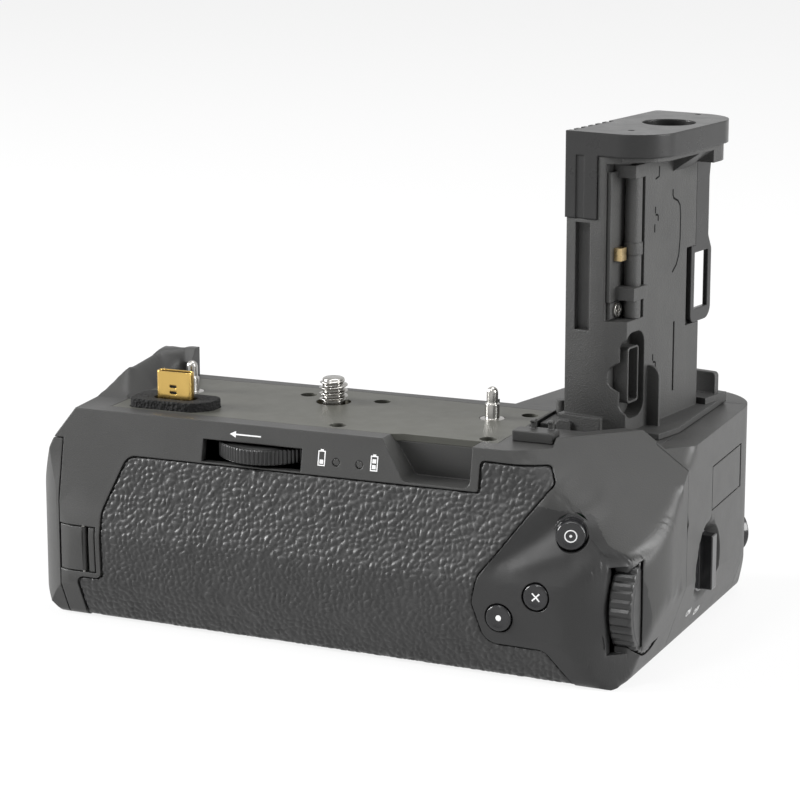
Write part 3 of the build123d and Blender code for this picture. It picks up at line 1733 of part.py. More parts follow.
def cap_flange():
    """Flange of the tower that carries the cap beyond the slab, on a gusset and a lug."""
    top = tower_top - cap_height
    face = cap_outline(flange_inset)
    form = slab(face, top - flange_thickness, top) & block(slab_reach - overrun, reach, -reach, reach, -reach, reach)
    form += slab(face, top - lug_height, top) & block(slab_reach - overrun, reach, lug_start, reach, -reach, reach)
    edge = tower_width + cap_overhang - flange_inset
    gusset = wall_outline(((slab_reach - overrun, top - gusset_height), (slab_reach, top - gusset_height),
                           (edge, top - flange_thickness), (slab_reach - overrun, top - flange_thickness)),
                          [0, 0, 0, 0], gusset_start, lug_start)
    return form + gusset


def tower_cap():
    """Glossy cap of the tower with its leg, edge teeth, thumb well and loop."""
    foot = tower_top - cap_height
    form = slab(cap_outline(0), foot + seat_gap, tower_top)
    leg = block(-cap_leg_proud, cap_leg_width, -cap_leg_proud, leg_thickness - cap_leg_proud, cap_leg_foot, tower_top)
    leg += block(-cap_leg_proud, leg_thickness - cap_leg_proud, -cap_leg_proud, leg_side, cap_leg_foot, tower_top)
    leg -= block(groove_left, groove_right - groove_depth, -reach, 0, -reach, foot)
    form = form + leg
    form -= post(cap_well_x, cap_well_y, tower_top - cap_well_depth, reach, cap_well_radius)
    for x, y in cap_hole_sites:
        form -= post(x, y, tower_top - cap_well_depth, reach, cap_pin_radius)
    for tooth in range(cap_ribs):
        y = cap_rib_start + tooth * cap_rib_pitch
        form -= block(-reach, cap_rib_depth, y, y + cap_rib_pitch / 2, tower_top - cap_rib_depth, reach)
    for x in tower_contact_sites:
        form -= block(x - tower_contact_width / 2 - seat_gap, x + tower_contact_width / 2 + seat_gap,
                      tower_depth - tower_contact_depth - seat_gap, reach, foot, foot + tower_contact_height + seat_gap * 2)
    return tower_place() * (form + loop())


def loop():
    """Long loop that hangs from the cap along the far edge of the slab."""
    near, far = loop_near, loop_near + loop_thickness
    top = tower_top - cap_height + overrun
    corners = ((loop_start, loop_foot), (loop_end, loop_foot), (loop_end, loop_window_top), (loop_waist, loop_waist_top),
               (loop_waist, loop_shoulder), (loop_end, top), (loop_neck, top), (loop_neck, loop_window_top + loop_bar),
               (loop_start, loop_window_top + loop_bar))
    radii = [loop_bar, loop_round, loop_bar, loop_bar, loop_bar, 0, 0, 0, 0]
    form = end_outline(corners, radii, near, far)
    return form - block(-reach, reach, loop_start + loop_bar, loop_end - loop_bar, loop_window_foot, loop_window_top)


def tower_contacts():
    """Contact blades in the far side of the cap."""
    foot = tower_top - cap_height + seat_gap
    group = []
    for x in tower_contact_sites:
        group.append(tower_place() * block(
            x - tower_contact_width / 2, x + tower_contact_width / 2, tower_depth - tower_contact_depth,
            tower_depth - seat_gap, foot, foot + tower_contact_height))
    return Compound(children=group)


def tower_board():
    """Board under the cap that the tower's wires end on."""
    top = tower_top - cap_height
    form = block(tower_wall + seat_gap, slab_reach - tower_wall - seat_gap, slab_start + holder_clear + seat_gap,
                 loop_start - tower_wall - seat_gap, top - tower_board_thickness, top)
    return tower_place() * form


def hinge_plate():
    """Plate on the floor of the tower's recess with two ears for the hinge post."""
    floor = column_width + seat_gap
    form = block(floor, floor + hinge_plate_thickness, hinge_plate_start, hinge_plate_width,
                 hinge_plate_foot, hinge_plate_top)
    for foot in (lower_ear_foot, upper_ear_foot):
        form += block(floor, ear_reach, ear_near, ear_far, foot, foot + ear_height)
    return tower_place() * (form - hinge_post_form(pin_fit))


def hinge_post_form(gap):
    """Upright post through the ears, wider by a gap."""
    x = column_width + hinge_plate_thickness + hinge_post_radius + 2 * seat_gap
    form = post(x, hinge_post_y, bay_foot + seat_gap, bay_top - seat_gap, hinge_post_radius + gap)
    return form + post(x, hinge_post_y, hinge_collar_foot, hinge_collar_foot + hinge_collar_height,
                       hinge_post_radius + hinge_collar + gap)


def hinge_post():
    """Round post of the recess with its collar."""
    return tower_place() * (hinge_post_form(0) - block(
        0, column_width + hinge_plate_thickness + 2 * seat_gap, -reach, reach, -reach, reach))


def spring_tab():
    """Bright spring tab on the hinge plate."""
    floor = column_width + hinge_plate_thickness + seat_gap
    return tower_place() * block(floor, floor + spring_tab_reach, spring_tab_y - spring_tab_width / 2,
                                 spring_tab_y + spring_tab_width / 2 - seat_gap * 2, spring_tab_z - spring_tab_height / 2,
                                 spring_tab_z + spring_tab_height / 2)


def screw_bracket():
    """Small plate at the foot of the recess that the bracket screw holds."""
    floor = column_width + seat_gap
    form = block(floor, floor + hinge_plate_thickness, bracket_near, hinge_post_y - hinge_post_radius - skin_gap + seat_gap,
                 bracket_foot, bracket_top)
    axis = Plane(origin=(0, bracket_screw_y, bracket_screw_z), z_dir=(1, 0, 0))
    return tower_place() * (form - rod(axis, bracket_screw_radius * shank_share + seat_gap, 0, reach))


def bracket_screw():
    """Screw of the small plate."""
    axis = Plane(origin=(0, bracket_screw_y, bracket_screw_z), z_dir=(1, 0, 0))
    face = column_width + seat_gap + hinge_plate_thickness
    form = rod(axis, bracket_screw_radius, face, face + bracket_screw_head)
    form += rod(axis, bracket_screw_radius * shank_share, face + bracket_screw_head - bracket_screw_length, face)
    slot = cross(0, 0, face + bracket_screw_head, bracket_screw_radius)
    return tower_place() * (form - axis * slot)


def clip_block():
    """Block with two hooked posts on the casing's top beside the tower."""
    form = block(clip_left, clip_right, -clip_rear, -clip_front, 0, clip_rise)
    top = clip_rise + clip_post_rise
    for x in clip_post_places:
        form += block(x, x + clip_post, -clip_front - clip_post, -clip_front, 0, top)
        form += block(x, x + clip_post, -clip_front - clip_post - clip_hook, -clip_front, top - clip_hook, top)
    return form


parts = {}


def build():
    """Makes every node of the grip."""
    rear_form, front_form, cover_form, door_form = split_casing()
    parts["rear_shell"] = rear_shell(rear_form)
    parts["front_shell"] = front_form
    parts["hand_end_cover"] = hand_end_cover(cover_form)
    parts["magazine_door"] = magazine_door(door_form)
    for site in button_sites:
        parts[site[0]] = rear_button(*site)
    for piece in (base_plate, base_screws, tripod_socket, top_plate, top_screws, locating_pins, camera_screw,
                  screw_bush, lock_wheel, idler_gear, gear_axles, drive_deck, signal_plug, plug_tongue,
                  plug_contacts, plug_gasket, charge_lamps, lamp_board, rear_rubber, front_rubber, cord_flap,
                  flap_edge, release_knob, magazine_tray, magazine_contacts, bay_bulkhead, bay_contacts,
                  main_board, button_domes, control_boards, rear_dial, front_dial, power_switch, port_cover,
                  charge_port, shutter_button, function_button, tower_frame, tower_cap, tower_contacts,
                  tower_board, hinge_plate, hinge_post, spring_tab, screw_bracket, bracket_screw,
                  contact_cover_holder, clip_block):
        parts[piece.__name__] = piece()
    parts["hinge_pins"] = Compound(children=[flap_pin(), port_pin(0)])
    parts["dial_axles"] = Compound(children=[dial_axle(0), front_dial_axle(0)])


if __name__ == "__main__":
    build()
    os.makedirs("parts", exist_ok=True)
    for name, solid in parts.items():
        export_step(solid, "parts/" + name + ".step")
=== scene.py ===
"""Looks of the camera battery grip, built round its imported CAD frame.

Meshes, finishes and the studio are in metres, the sizes of the sub-assemblies in
millimetres. The origin is where the camera screw meets the top face, X runs towards the
hand end, Y towards the lens side and Z up. Pieces are surfaces worked out with numpy,
or copies of CAD nodes whose edges are rounded and whose faces are sculpted.
"""
import json
import logging
import math
from dataclasses import dataclass
from enum import Enum
from typing import Callable, Sequence

import bmesh
import bpy
import numpy as np
from mathutils.bvhtree import BVHTree
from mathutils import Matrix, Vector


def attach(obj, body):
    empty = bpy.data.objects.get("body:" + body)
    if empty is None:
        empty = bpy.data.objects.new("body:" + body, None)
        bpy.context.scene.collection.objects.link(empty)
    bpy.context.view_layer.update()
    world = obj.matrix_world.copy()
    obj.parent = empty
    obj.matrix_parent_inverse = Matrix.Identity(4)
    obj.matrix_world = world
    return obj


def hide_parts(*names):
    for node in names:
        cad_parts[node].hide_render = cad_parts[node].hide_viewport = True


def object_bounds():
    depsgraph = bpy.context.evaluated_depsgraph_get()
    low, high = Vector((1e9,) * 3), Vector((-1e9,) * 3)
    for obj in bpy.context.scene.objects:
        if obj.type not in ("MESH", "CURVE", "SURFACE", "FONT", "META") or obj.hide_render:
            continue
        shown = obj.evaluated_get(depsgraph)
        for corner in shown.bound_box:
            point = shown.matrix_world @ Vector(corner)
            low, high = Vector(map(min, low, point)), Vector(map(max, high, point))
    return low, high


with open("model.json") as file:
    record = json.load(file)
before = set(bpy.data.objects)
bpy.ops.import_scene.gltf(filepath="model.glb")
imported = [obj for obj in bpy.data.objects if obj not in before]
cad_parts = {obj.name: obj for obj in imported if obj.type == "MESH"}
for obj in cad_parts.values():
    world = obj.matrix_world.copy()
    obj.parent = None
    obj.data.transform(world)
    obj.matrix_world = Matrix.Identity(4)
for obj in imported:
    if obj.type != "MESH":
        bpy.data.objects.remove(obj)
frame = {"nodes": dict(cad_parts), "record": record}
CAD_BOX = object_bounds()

Array = np.ndarray
Mesh = bpy.types.Mesh
Path = Sequence[Sequence[float]]
Piece = bpy.types.Object
Socket = bpy.types.NodeSocket
Triple = tuple[float, float, float]

MM = 0.001
TAU = 2.0 * math.pi
# Distances under which corners are merged, in metres
WELD = 1e-7
CAD_WELD = 2e-6
# Angle under which two faces count as one flat face, in degrees
FLAT_ANGLE = 0.6
# Radius of a profile's ends, next to the axis, in millimetres
ON_AXIS = 0.0001
# Rows and columns of a table of random values
TABLE = 64
UP = np.array([0.0, 0.0, 1.0])
log = logging.getLogger("grip")


# Node materials

class Graph:
    """Small helper that adds and joins the nodes of one material or world."""

    def __init__(self, owner: bpy.types.Material | bpy.types.World) -> None:
        """Empties the owner's node tree and adds its output."""
        owner.use_nodes = True
        self.owner = owner
        self.tree = owner.node_tree
        self.tree.nodes.clear()
        outdoors = isinstance(owner, bpy.types.World)
        self.output = self.add("ShaderNodeOutputWorld" if outdoors else "ShaderNodeOutputMaterial")

    def add(self, kind: str, **settings: object) -> bpy.types.Node:
        """Adds a node of the type that kind names and sets properties on it."""
        node = self.tree.nodes.new(kind)
        for key, value in settings.items():
            setattr(node, key, value)
        return node

    def join(self, start: Socket, end: Socket) -> None:
        """Joins two sockets."""
        self.tree.links.new(start, end)

    def place(self, stretch: Sequence[float] = (1.0, 1.0, 1.0)) -> Socket:
        """Object coordinates, each axis multiplied by its stretch."""
        coords = self.add("ShaderNodeTexCoord")
        mapping = self.add("ShaderNodeMapping")
        mapping.inputs["Scale"].default_value = stretch
        self.join(coords.outputs["Object"], mapping.inputs["Vector"])
        return mapping.outputs["Vector"]

    def noise(self, size: float, detail: float = 3.0, rough: float = 0.55,
              stretch: Sequence[float] = (1.0, 1.0, 1.0)) -> Socket:
        """Noise whose features are about a given size.

        Args:
            size: feature size in metres.
            detail: octaves.
            rough: share of each finer octave.
            stretch: factor of each axis.
        Returns:
            The value socket.
        """
        node = self.add("ShaderNodeTexNoise")
        node.inputs["Scale"].default_value = 1.0 / size
        node.inputs["Detail"].default_value = detail
        node.inputs["Roughness"].default_value = rough
        self.join(self.place(stretch), node.inputs["Vector"])
        return node.outputs["Fac"]

    def cells(self, size: float) -> Socket:
        """Voronoi distance with cells of a given size in metres."""
        node = self.add("ShaderNodeTexVoronoi", feature="F1")
        node.inputs["Scale"].default_value = 1.0 / size
        self.join(self.place(), node.inputs["Vector"])
        return node.outputs["Distance"]

    def span(self, source: Socket, low: float, high: float, start: float = 0.3, end: float = 0.7) -> Socket:
        """Maps a source from start..end to low..high."""
        node = self.add("ShaderNodeMapRange")
        for key, value in (("From Min", start), ("From Max", end), ("To Min", low), ("To Max", high)):
            node.inputs[key].default_value = value
        self.join(source, node.inputs["Value"])
        return node.outputs["Result"]

    def blend(self, factor: Socket, first: Sequence[float], second: Sequence[float]) -> Socket:
        """Mixes two colours, the first at factor 0 and the second at factor 1."""
        node = self.add("ShaderNodeMix", data_type="RGBA")
        colours = [socket for socket in node.inputs if socket.type == "RGBA"]
        colours[0].default_value = (*first, 1.0)
        colours[1].default_value = (*second, 1.0)
        self.join(factor, node.inputs[0])
        return next(socket for socket in node.outputs if socket.type == "RGBA")

    def relief(self, height: Socket, depth: float, below: Socket) -> Socket:
        """Bump of a height map.

        Args:
            height: value socket.
            depth: height of value 1 in metres.
            below: normal that this relief lies on.
        Returns:
            The normal socket.
        """
        node = self.add("ShaderNodeBump")
        node.inputs["Strength"].default_value = 1.0
        node.inputs["Distance"].default_value = depth
        self.join(height, node.inputs["Height"])
        self.join(below, node.inputs["Normal"])
        return node.outputs["Normal"]

    def seen(self) -> Socket:
        """1 for rays of the camera, of reflections and through glass, else 0."""
        path = self.add("ShaderNodeLightPath")
        found = path.outputs["Is Camera Ray"]
        for ray in ("Is Glossy Ray", "Is Transmission Ray"):
            either = self.add("ShaderNodeMath", operation="MAXIMUM")
            self.join(found, either.inputs[0])
            self.join(path.outputs[ray], either.inputs[1])
            found = either.outputs[0]
        return found

    def show(self, factor: Socket, first: bpy.types.Node, second: bpy.types.Node) -> None:
        """Gives the output a mix of two shaders, the first at factor 0."""
        mix = self.add("ShaderNodeMixShader")
        self.join(factor, mix.inputs[0])
        self.join(first.outputs[0], mix.inputs[1])
        self.join(second.outputs[0], mix.inputs[2])
        self.join(mix.outputs[0], self.output.inputs["Surface"])


@dataclass(frozen=True)
class Finish:
    """One finish: colour, gloss and the relief of its surface, in metres."""

    name: str
    colour: Triple
    vary: float = 0.12
    vary_size: float = 0.012
    roughness: float = 0.45
    rough_vary: float = 0.06
    metal: float = 0.0
    specular: float = 0.5
    coat: float = 0.0
    coat_rough: float = 0.12
    grain: float = 0.0
    grain_size: float = 0.0003
    wave: float = 0.0
    wave_size: float = 0.002
    pores: float = 0.0
    pore_size: float = 0.0006
    stretch: Triple = (1.0, 1.0, 1.0)
    see_through: float = 0.0
    edge: float = 0.00025

    def make(self) -> bpy.types.Material:
        """Builds the node material from the finish's numbers."""
        graph = Graph(bpy.data.materials.new(self.name))
        shader = graph.add("ShaderNodeBsdfPrincipled")
        graph.join(shader.outputs["BSDF"], graph.output.inputs["Surface"])
        inputs = {"Metallic": self.metal, "Specular IOR Level": self.specular, "Coat Weight": self.coat,
                  "Coat Roughness": self.coat_rough, "Transmission Weight": self.see_through}
        for key, value in inputs.items():
            shader.inputs[key].default_value = value
        tone = graph.noise(self.vary_size, 4.0)
        dark = tuple(channel * (1.0 - self.vary) for channel in self.colour)
        light = tuple(channel * (1.0 + self.vary) for channel in self.colour)
        graph.join(graph.blend(graph.span(tone, 0.0, 1.0), dark, light), shader.inputs["Base Color"])
        cloud = graph.noise(self.vary_size * 0.4, 5.0, 0.6)
        graph.join(graph.span(cloud, self.roughness - self.rough_vary, self.roughness + self.rough_vary),
                   shader.inputs["Roughness"])
        edge = graph.add("ShaderNodeBevel", samples=4)
        edge.inputs["Radius"].default_value = self.edge
        normal = edge.outputs["Normal"]
        if self.wave:
            normal = graph.relief(graph.noise(self.wave_size, 2.0), self.wave, normal)
        if self.pores:
            normal = graph.relief(graph.cells(self.pore_size), self.pores, normal)
        if self.grain:
            normal = graph.relief(graph.noise(self.grain_size, 2.0, 0.5, self.stretch), self.grain, normal)
        graph.join(normal, shader.inputs["Normal"])
        return graph.owner


class Look(Enum):
    """Every finish of the grip."""

    SHELL = Finish("moulded_shell", (0.034, 0.034, 0.033), edge=0.00035, vary=0.05, roughness=0.43,
                   rough_vary=0.02, specular=0.42, grain=0.00004, grain_size=0.0003)
    # ISLAND: the smoother finish of the thumb's island is real; its darker colour and weaker specular than
    # SHELL are painted shade.
    ISLAND = Finish("smooth_shell_painted_shade", (0.024, 0.024, 0.024), vary=0.05, roughness=0.38, rough_vary=0.02,
                    specular=0.32, grain=0.000025, grain_size=0.00025)
    RUBBER = Finish("leather_rubber", (0.026, 0.026, 0.026), roughness=0.4, vary=0.12, specular=0.42,
                    grain=0.00003, grain_size=0.00025, edge=0.0001)
    PLATE = Finish("plate_paint", (0.07, 0.07, 0.06), roughness=0.44, rough_vary=0.03, metal=0.1, vary=0.05,
                   specular=0.35, grain=0.00001, grain_size=0.0002, stretch=(0.02, 1.0, 1.0))
    GLOSS = Finish("gloss_plastic", (0.01, 0.01, 0.011), roughness=0.16, rough_vary=0.03, specular=0.45,
                   coat=0.2)
    TOWER = Finish("grained_plastic", (0.04, 0.04, 0.039), roughness=0.47, rough_vary=0.03, vary=0.12,
                   specular=0.4, grain=0.00009, grain_size=0.00035, edge=0.0004)
    CAP = Finish("cap_plastic", (0.017, 0.017, 0.017), roughness=0.3, rough_vary=0.04, vary=0.06,
                 specular=0.35, coat=0.05, edge=0.0005)
    STEEL = Finish("nickel", (0.42, 0.41, 0.39), roughness=0.22, metal=1.0, vary=0.05, grain=0.000004,
                   grain_size=0.0002, stretch=(1.0, 1.0, 0.1), edge=0.0001)
    SPRING = Finish("spring_steel", (0.4, 0.39, 0.37), roughness=0.35, metal=1.0)
    BLACK_SCREW = Finish("blackened_steel", (0.02, 0.02, 0.02), roughness=0.35, metal=0.6, edge=0.0001)
    BRASS = Finish("turned_brass", (0.5, 0.38, 0.2), roughness=0.3, metal=1.0, edge=0.0001)
    GOLD = Finish("gold_plate", (0.62, 0.42, 0.13), roughness=0.24, metal=1.0, vary=0.06,
                  grain=0.000006, grain_size=0.0003, edge=0.00035)
    FOAM = Finish("foam_ring", (0.01, 0.01, 0.01), roughness=0.85, rough_vary=0.1, specular=0.25,
                  pores=0.0003, pore_size=0.0007, grain=0.00012, grain_size=0.0003)
    WHEEL = Finish("wheel_rubber", (0.016, 0.016, 0.016), roughness=0.36, grain=0.00002, edge=0.0001)
    RESIN = Finish("inner_resin", (0.012, 0.012, 0.012), roughness=0.5, specular=0.3, grain=0.00004)
    BOARD = Finish("board", (0.008, 0.03, 0.015), roughness=0.4, specular=0.3, grain=0.00003)
    LAMP = Finish("lamp_pipe", (0.05, 0.05, 0.048), roughness=0.15, see_through=0.3)
    INK = Finish("white_mark", (0.8, 0.8, 0.8), vary=0.03, roughness=0.5, edge=0.00001)
    # LINE: near-black strips that stand for the shade in fine grooves, painted shade
    LINE = Finish("groove_shadow", (0.004, 0.004, 0.004), roughness=0.8, specular=0.1, edge=0.00001)

    def material(self) -> bpy.types.Material:
        """The one material of this finish, made on first use."""
        found = bpy.data.materials.get(self.value.name)
        return found or self.value.make()


# Meshes

def new_piece(name: str, verts: Array, faces: Path | Array, look: Look,
              smooth_angle: float = 40.0) -> Piece:
    """Makes an object at the origin from points and faces.

    Args:
        name: piece name.
        verts: points, one row each, in metres.
        faces: corner indices of each face.
        look: finish.
        smooth_angle: edges sharper than this stay sharp, in degrees.
    Returns:
        The new object.
    """
    mesh = bpy.data.meshes.new(name)
    rows = faces.tolist() if isinstance(faces, Array) else faces
    mesh.from_pydata(verts.tolist(), [], rows)
    mesh.validate()
    return finish_piece(name, mesh, look, smooth_angle)


def finish_piece(name: str, mesh: Mesh, look: Look, smooth_angle: float = 40.0) -> Piece:
    """Turns a mesh's faces outward and makes its object, as new_piece does."""
    form = bmesh.new()
    form.from_mesh(mesh)
    bmesh.ops.remove_doubles(form, verts=form.verts, dist=WELD)
    bmesh.ops.recalc_face_normals(form, faces=form.faces)
    form.to_mesh(mesh)
    form.free()
    return link_piece(name, mesh, look, smooth_angle)


def put(name: str, data: bpy.types.ID, place: Sequence[float] = (0.0, 0.0, 0.0),
        turn: Sequence[float] = (0.0, 0.0, 0.0)) -> Piece:
    """Links a new object that shows data, at a place in metres and a turn in radians."""
    thing = bpy.data.objects.new(name, data)
    thing.location = place
    thing.rotation_euler = turn
    bpy.context.scene.collection.objects.link(thing)
    return thing


def link_piece(name: str, mesh: Mesh, look: Look, smooth_angle: float) -> Piece:
    """Shades a mesh smooth but for its sharp edges, and links its object with its finish."""
    mesh.shade_smooth()
    mesh.set_sharp_from_angle(angle=math.radians(smooth_angle))
    piece = put(name, mesh)
    mesh.materials.clear()
    mesh.materials.append(look.material())
    return piece


def carry(piece: Piece, node: str, stands_for: bool = True) -> None:
    """Lets a piece ride on a CAD node's body and, if asked, stand for it."""
    if stands_for:
        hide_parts(node)
    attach(piece, body_of(node))


def points_of(mesh: Mesh) -> Array:
    """Corner places of a mesh, one row each."""
    places = np.empty(len(mesh.vertices) * 3)
    mesh.vertices.foreach_get("co", places)
    return places.reshape(-1, 3)


def set_points(mesh: Mesh, places: Array) -> None:
    """Moves the corners of a mesh."""
    mesh.vertices.foreach_set("co", places.ravel())
    mesh.update()


def grid_faces(rows: int, columns: int, close_columns: bool = False) -> Array:
    """Quads of a grid of points stored row by row, four corner indices a row of the result.

    Args:
        rows: number of rows.
        columns: points in a row.
        close_columns: joins the last column to the first.
    """
    r = np.arange(rows - 1)[:, None] * columns
    c = np.arange(columns if close_columns else columns - 1)[None, :]
    after = (c + 1) % columns
    corners = (r + c, r + after, r + columns + after, r + columns + c)
    return np.stack([corner.ravel() for corner in corners], axis=1)


def tube_faces(rings: int, sides: int) -> list[list[int]]:
    """Faces of a tube of rings with a cap at each end."""
    faces = grid_faces(rings, sides, close_columns=True).tolist()
    faces.append(list(range(sides))[::-1])
    faces.append(list(range((rings - 1) * sides, rings * sides)))
    return faces


def lathe(name: str, profile: Array, look: Look, centre: Sequence[float] = (0.0, 0.0, 0.0),
          axis: Sequence[float] = (0.0, 0.0, 1.0), sides: int = 72,
          ripple: Callable[[Array], Array] | None = None, smooth_angle: float = 35.0) -> Piece:
    """Closed body of revolution, its sizes in millimetres.

    The point at angle a and height h is centre + radius(h) outwards at a + h along the axis.

    Args:
        name: piece name.
        profile: rows of radius and height; the first and last radius are nearly zero.
        look: finish.
        centre: point on the axis.
        axis: direction of the axis.
        sides: number of steps round.
        ripple: adds to the radius, one row for each point of the profile, from the angles.
        smooth_angle: edges sharper than this stay sharp, in degrees.
    Returns:
        The new object.
    """
    along = np.asarray(axis, float) / np.linalg.norm(axis)
    across = np.cross(UP if abs(along[2]) < 0.9 else np.array([1.0, 0.0, 0.0]), along)
    across /= np.linalg.norm(across)
    up = np.cross(along, across)
    angle = np.arange(sides) * TAU / sides
    radius = np.repeat(profile[:, :1], sides, axis=1)
    if ripple is not None:
        radius = radius + ripple(angle[None, :])
    out = np.cos(angle)[:, None] * across + np.sin(angle)[:, None] * up
    points = centre + radius[:, :, None] * out[None, :, :] + profile[:, 1][:, None, None] * along
    return new_piece(name, points.reshape(-1, 3) * MM, tube_faces(len(profile), sides), look, smooth_angle)


def rounded(profile: Path, radii: Sequence[float], steps: int = 5) -> Array:
    """Open polyline whose corners are arcs.

    Each corner is replaced by points on a quadratic curve that starts and ends at the
    corner's radius along its two runs.

    Args:
        profile: corner points.
        radii: rounding at each corner, zero at the ends.
        steps: points of each rounding.
    Returns:
        The points, one row each.
    """
    points = np.asarray(profile, float)
    rows = [points[0]]
    for index in range(1, len(points) - 1):
        here, before, after = points[index], points[index - 1], points[index + 1]
        radius = radii[index]
        if radius <= 0:
            rows.append(here)
            continue
        back, ahead = before - here, after - here
        reach_back = min(radius, 0.49 * np.linalg.norm(back))
        reach_ahead = min(radius, 0.49 * np.linalg.norm(ahead))
        start = here + back / np.linalg.norm(back) * reach_back
        end = here + ahead / np.linalg.norm(ahead) * reach_ahead
        for share in np.linspace(0.0, 1.0, steps):
            rows.append((1 - share) ** 2 * start + 2 * share * (1 - share) * here + share ** 2 * end)
    rows.append(points[-1])
    return np.array(rows)


def node_copy(node: str, name: str, look: Look, bevel: float = 0.00018, angle: float = 32.0,
              flat: bool = True) -> Piece:
    """Copy of a CAD node with merged points and rounded edges, which stands for it.

    Args:
        node: CAD node.
        name: name of the copy.
        look: finish.
        bevel: width of the rounded edges in metres; zero leaves them out.
        angle: edges sharper than this are rounded, in degrees.
        flat: joins the triangles of flat faces first.
    Returns:
        The new object, riding on the node's body.
    """
    mesh = frame["nodes"][node].data.copy()
    mesh.name = name
    if "custom_normal" in mesh.attributes:
        mesh.attributes.remove(mesh.attributes["custom_normal"])
    form = bmesh.new()
    form.from_mesh(mesh)
    bmesh.ops.remove_doubles(form, verts=form.verts, dist=CAD_WELD)
    if flat:
        bmesh.ops.dissolve_limit(form, angle_limit=math.radians(FLAT_ANGLE), verts=form.verts,
                                 edges=form.edges)
    form.to_mesh(mesh)
    form.free()
    piece = link_piece(name, mesh, look, angle)
    if bevel > 0:
        rounding = piece.modifiers.new("edges", "BEVEL")
        rounding.width = bevel
        rounding.segments = 2
        rounding.limit_method = "ANGLE"
        rounding.angle_limit = math.radians(angle)
        rounding.harden_normals = True
        rounding.use_clamp_overlap = True
    carry(piece, node)
    return piece


def body_of(node: str) -> str:
    """Name of the body that carries a CAD node."""
    bodies = frame["record"]["behaviour"]["bodies"]
    return next(name for name, nodes in bodies.items() if node in nodes)


def dress(node: str, look: Look) -> None:
    """Gives a CAD node that stays in view its finish."""
    for slot in frame["nodes"][node].material_slots:
        slot.material = look.material()


# Outlines, reliefs and the form of the casing, shared by several pieces

def arc_outline(corners: Path, radii: Sequence[float], steps: int = 6,
                closed: bool = True) -> Array:
    """Outline through corners with true arcs.

    At a corner with turn t and radius r the arc starts r * tan(t / 2) before it; the
    points on the arc come from the circle that touches both runs.

    Args:
        corners: points of the outline.
        radii: rounding of each corner.
        steps: points of each arc.
        closed: whether the last corner runs on to the first.
    Returns:
        The points, one row each.
    """
    points = np.asarray(corners, float)
    count = len(points)
    rows = []
    for index in range(count):
        here = points[index]
        if radii[index] <= 0 or (not closed and index in (0, count - 1)):
            rows.append(here)
            continue
        before = points[index - 1] - here
        after = points[(index + 1) % count] - here
        before, after = before / np.linalg.norm(before), after / np.linalg.norm(after)
        half = math.acos(float(np.clip(before @ after, -1, 1))) / 2
        reach = radii[index] / math.tan(half)
        start, end = here + before * reach, here + after * reach
        middle = here + (before + after) / np.linalg.norm(before + after) * radii[index] / math.sin(half)
        first, last = start - middle, end - middle
        sweep = math.acos(float(np.clip(first @ last / radii[index] ** 2, -1, 1)))
        for share in np.linspace(0.0, 1.0, steps):
            if sweep < 1e-6:
                rows.append(start)
                break
            rows.append(middle + (first * math.sin((1 - share) * sweep) + last * math.sin(share * sweep))
                        / math.sin(sweep))
    return np.array(rows)


def inside(points: Array, outline: Array) -> Array:
    """Which points lie inside an outline, by counting the runs that a ray to the right crosses."""
    a, b = outline, np.roll(outline, -1, axis=0)
    x, y = points[:, 0][:, None], points[:, 1][:, None]
    crosses = (a[:, 1] > y) != (b[:, 1] > y)
    rise = np.where(b[:, 1] == a[:, 1], 1e-12, b[:, 1] - a[:, 1])
    cut = a[:, 0] + (y - a[:, 1]) * (b[:, 0] - a[:, 0]) / rise
    return ((crosses & (x < cut)).sum(axis=1) % 2) == 1


def feet_on(points: Array, starts: Array, ends: Array) -> tuple[Array, Array]:
    """Nearest places on straight runs from a to b: at the share (p - a).(b - a) / |b - a|^2 of each.

    Args:
        points: places, one row each.
        starts: start of each run.
        ends: end of each run.
    Returns:
        The place for each point and run, and its squared distance.
    """
    run = ends - starts
    span = np.maximum((run ** 2).sum(axis=1), 1e-12)
    share = (((points[:, None, :] - starts) * run).sum(axis=2) / span).clip(0.0, 1.0)
    feet = starts + share[:, :, None] * run
    return feet, ((points[:, None, :] - feet) ** 2).sum(axis=2)


def nearest(points: Array, outline: Array) -> Array:
    """Nearest place on a closed outline for each point."""
    feet, away = feet_on(points, outline, np.roll(outline, -1, axis=0))
    return feet[np.arange(len(points)), away.argmin(axis=1)]


def clipped_grid(outline: Array, pitch: float) -> tuple[Array, Array]:
    """Square grid inside an outline, its border points moved onto the outline.

    Args:
        outline: closed outline, one row a point.
        pitch: distance of the grid lines.
    Returns:
        The points and the quads.
    """
    low, high = outline.min(axis=0), outline.max(axis=0)
    us = np.arange(low[0] - pitch / 2, high[0] + pitch, pitch)
    vs = np.arange(low[1] - pitch / 2, high[1] + pitch, pitch)
    u, v = np.meshgrid(us, vs)
    points = np.stack([u.ravel(), v.ravel()], axis=1)
    quads = grid_faces(len(vs), len(us))
    kept = inside(points[quads].mean(axis=1), outline)
    uses = np.bincount(quads[kept].ravel(), minlength=len(points))
    border = (uses > 0) & (uses < 4)
    points[border] = nearest(points[border], outline)
    order = np.cumsum(uses > 0) - 1
    return points[uses > 0], order[quads[kept]]


def ridge(points: Array, path: Path, width: float) -> Array:
    """Height of a rounded ridge along a path: exp(-(distance / width)^2).

    Args:
        points: places, one row each.
        path: corners of the open path.
        width: distance at which the height is down to a third.
    Returns:
        One height a point.
    """
    line = np.asarray(path, float)
    away = feet_on(points, line[:-1], line[1:])[1].min(axis=1)
    return np.exp(-away / width ** 2)


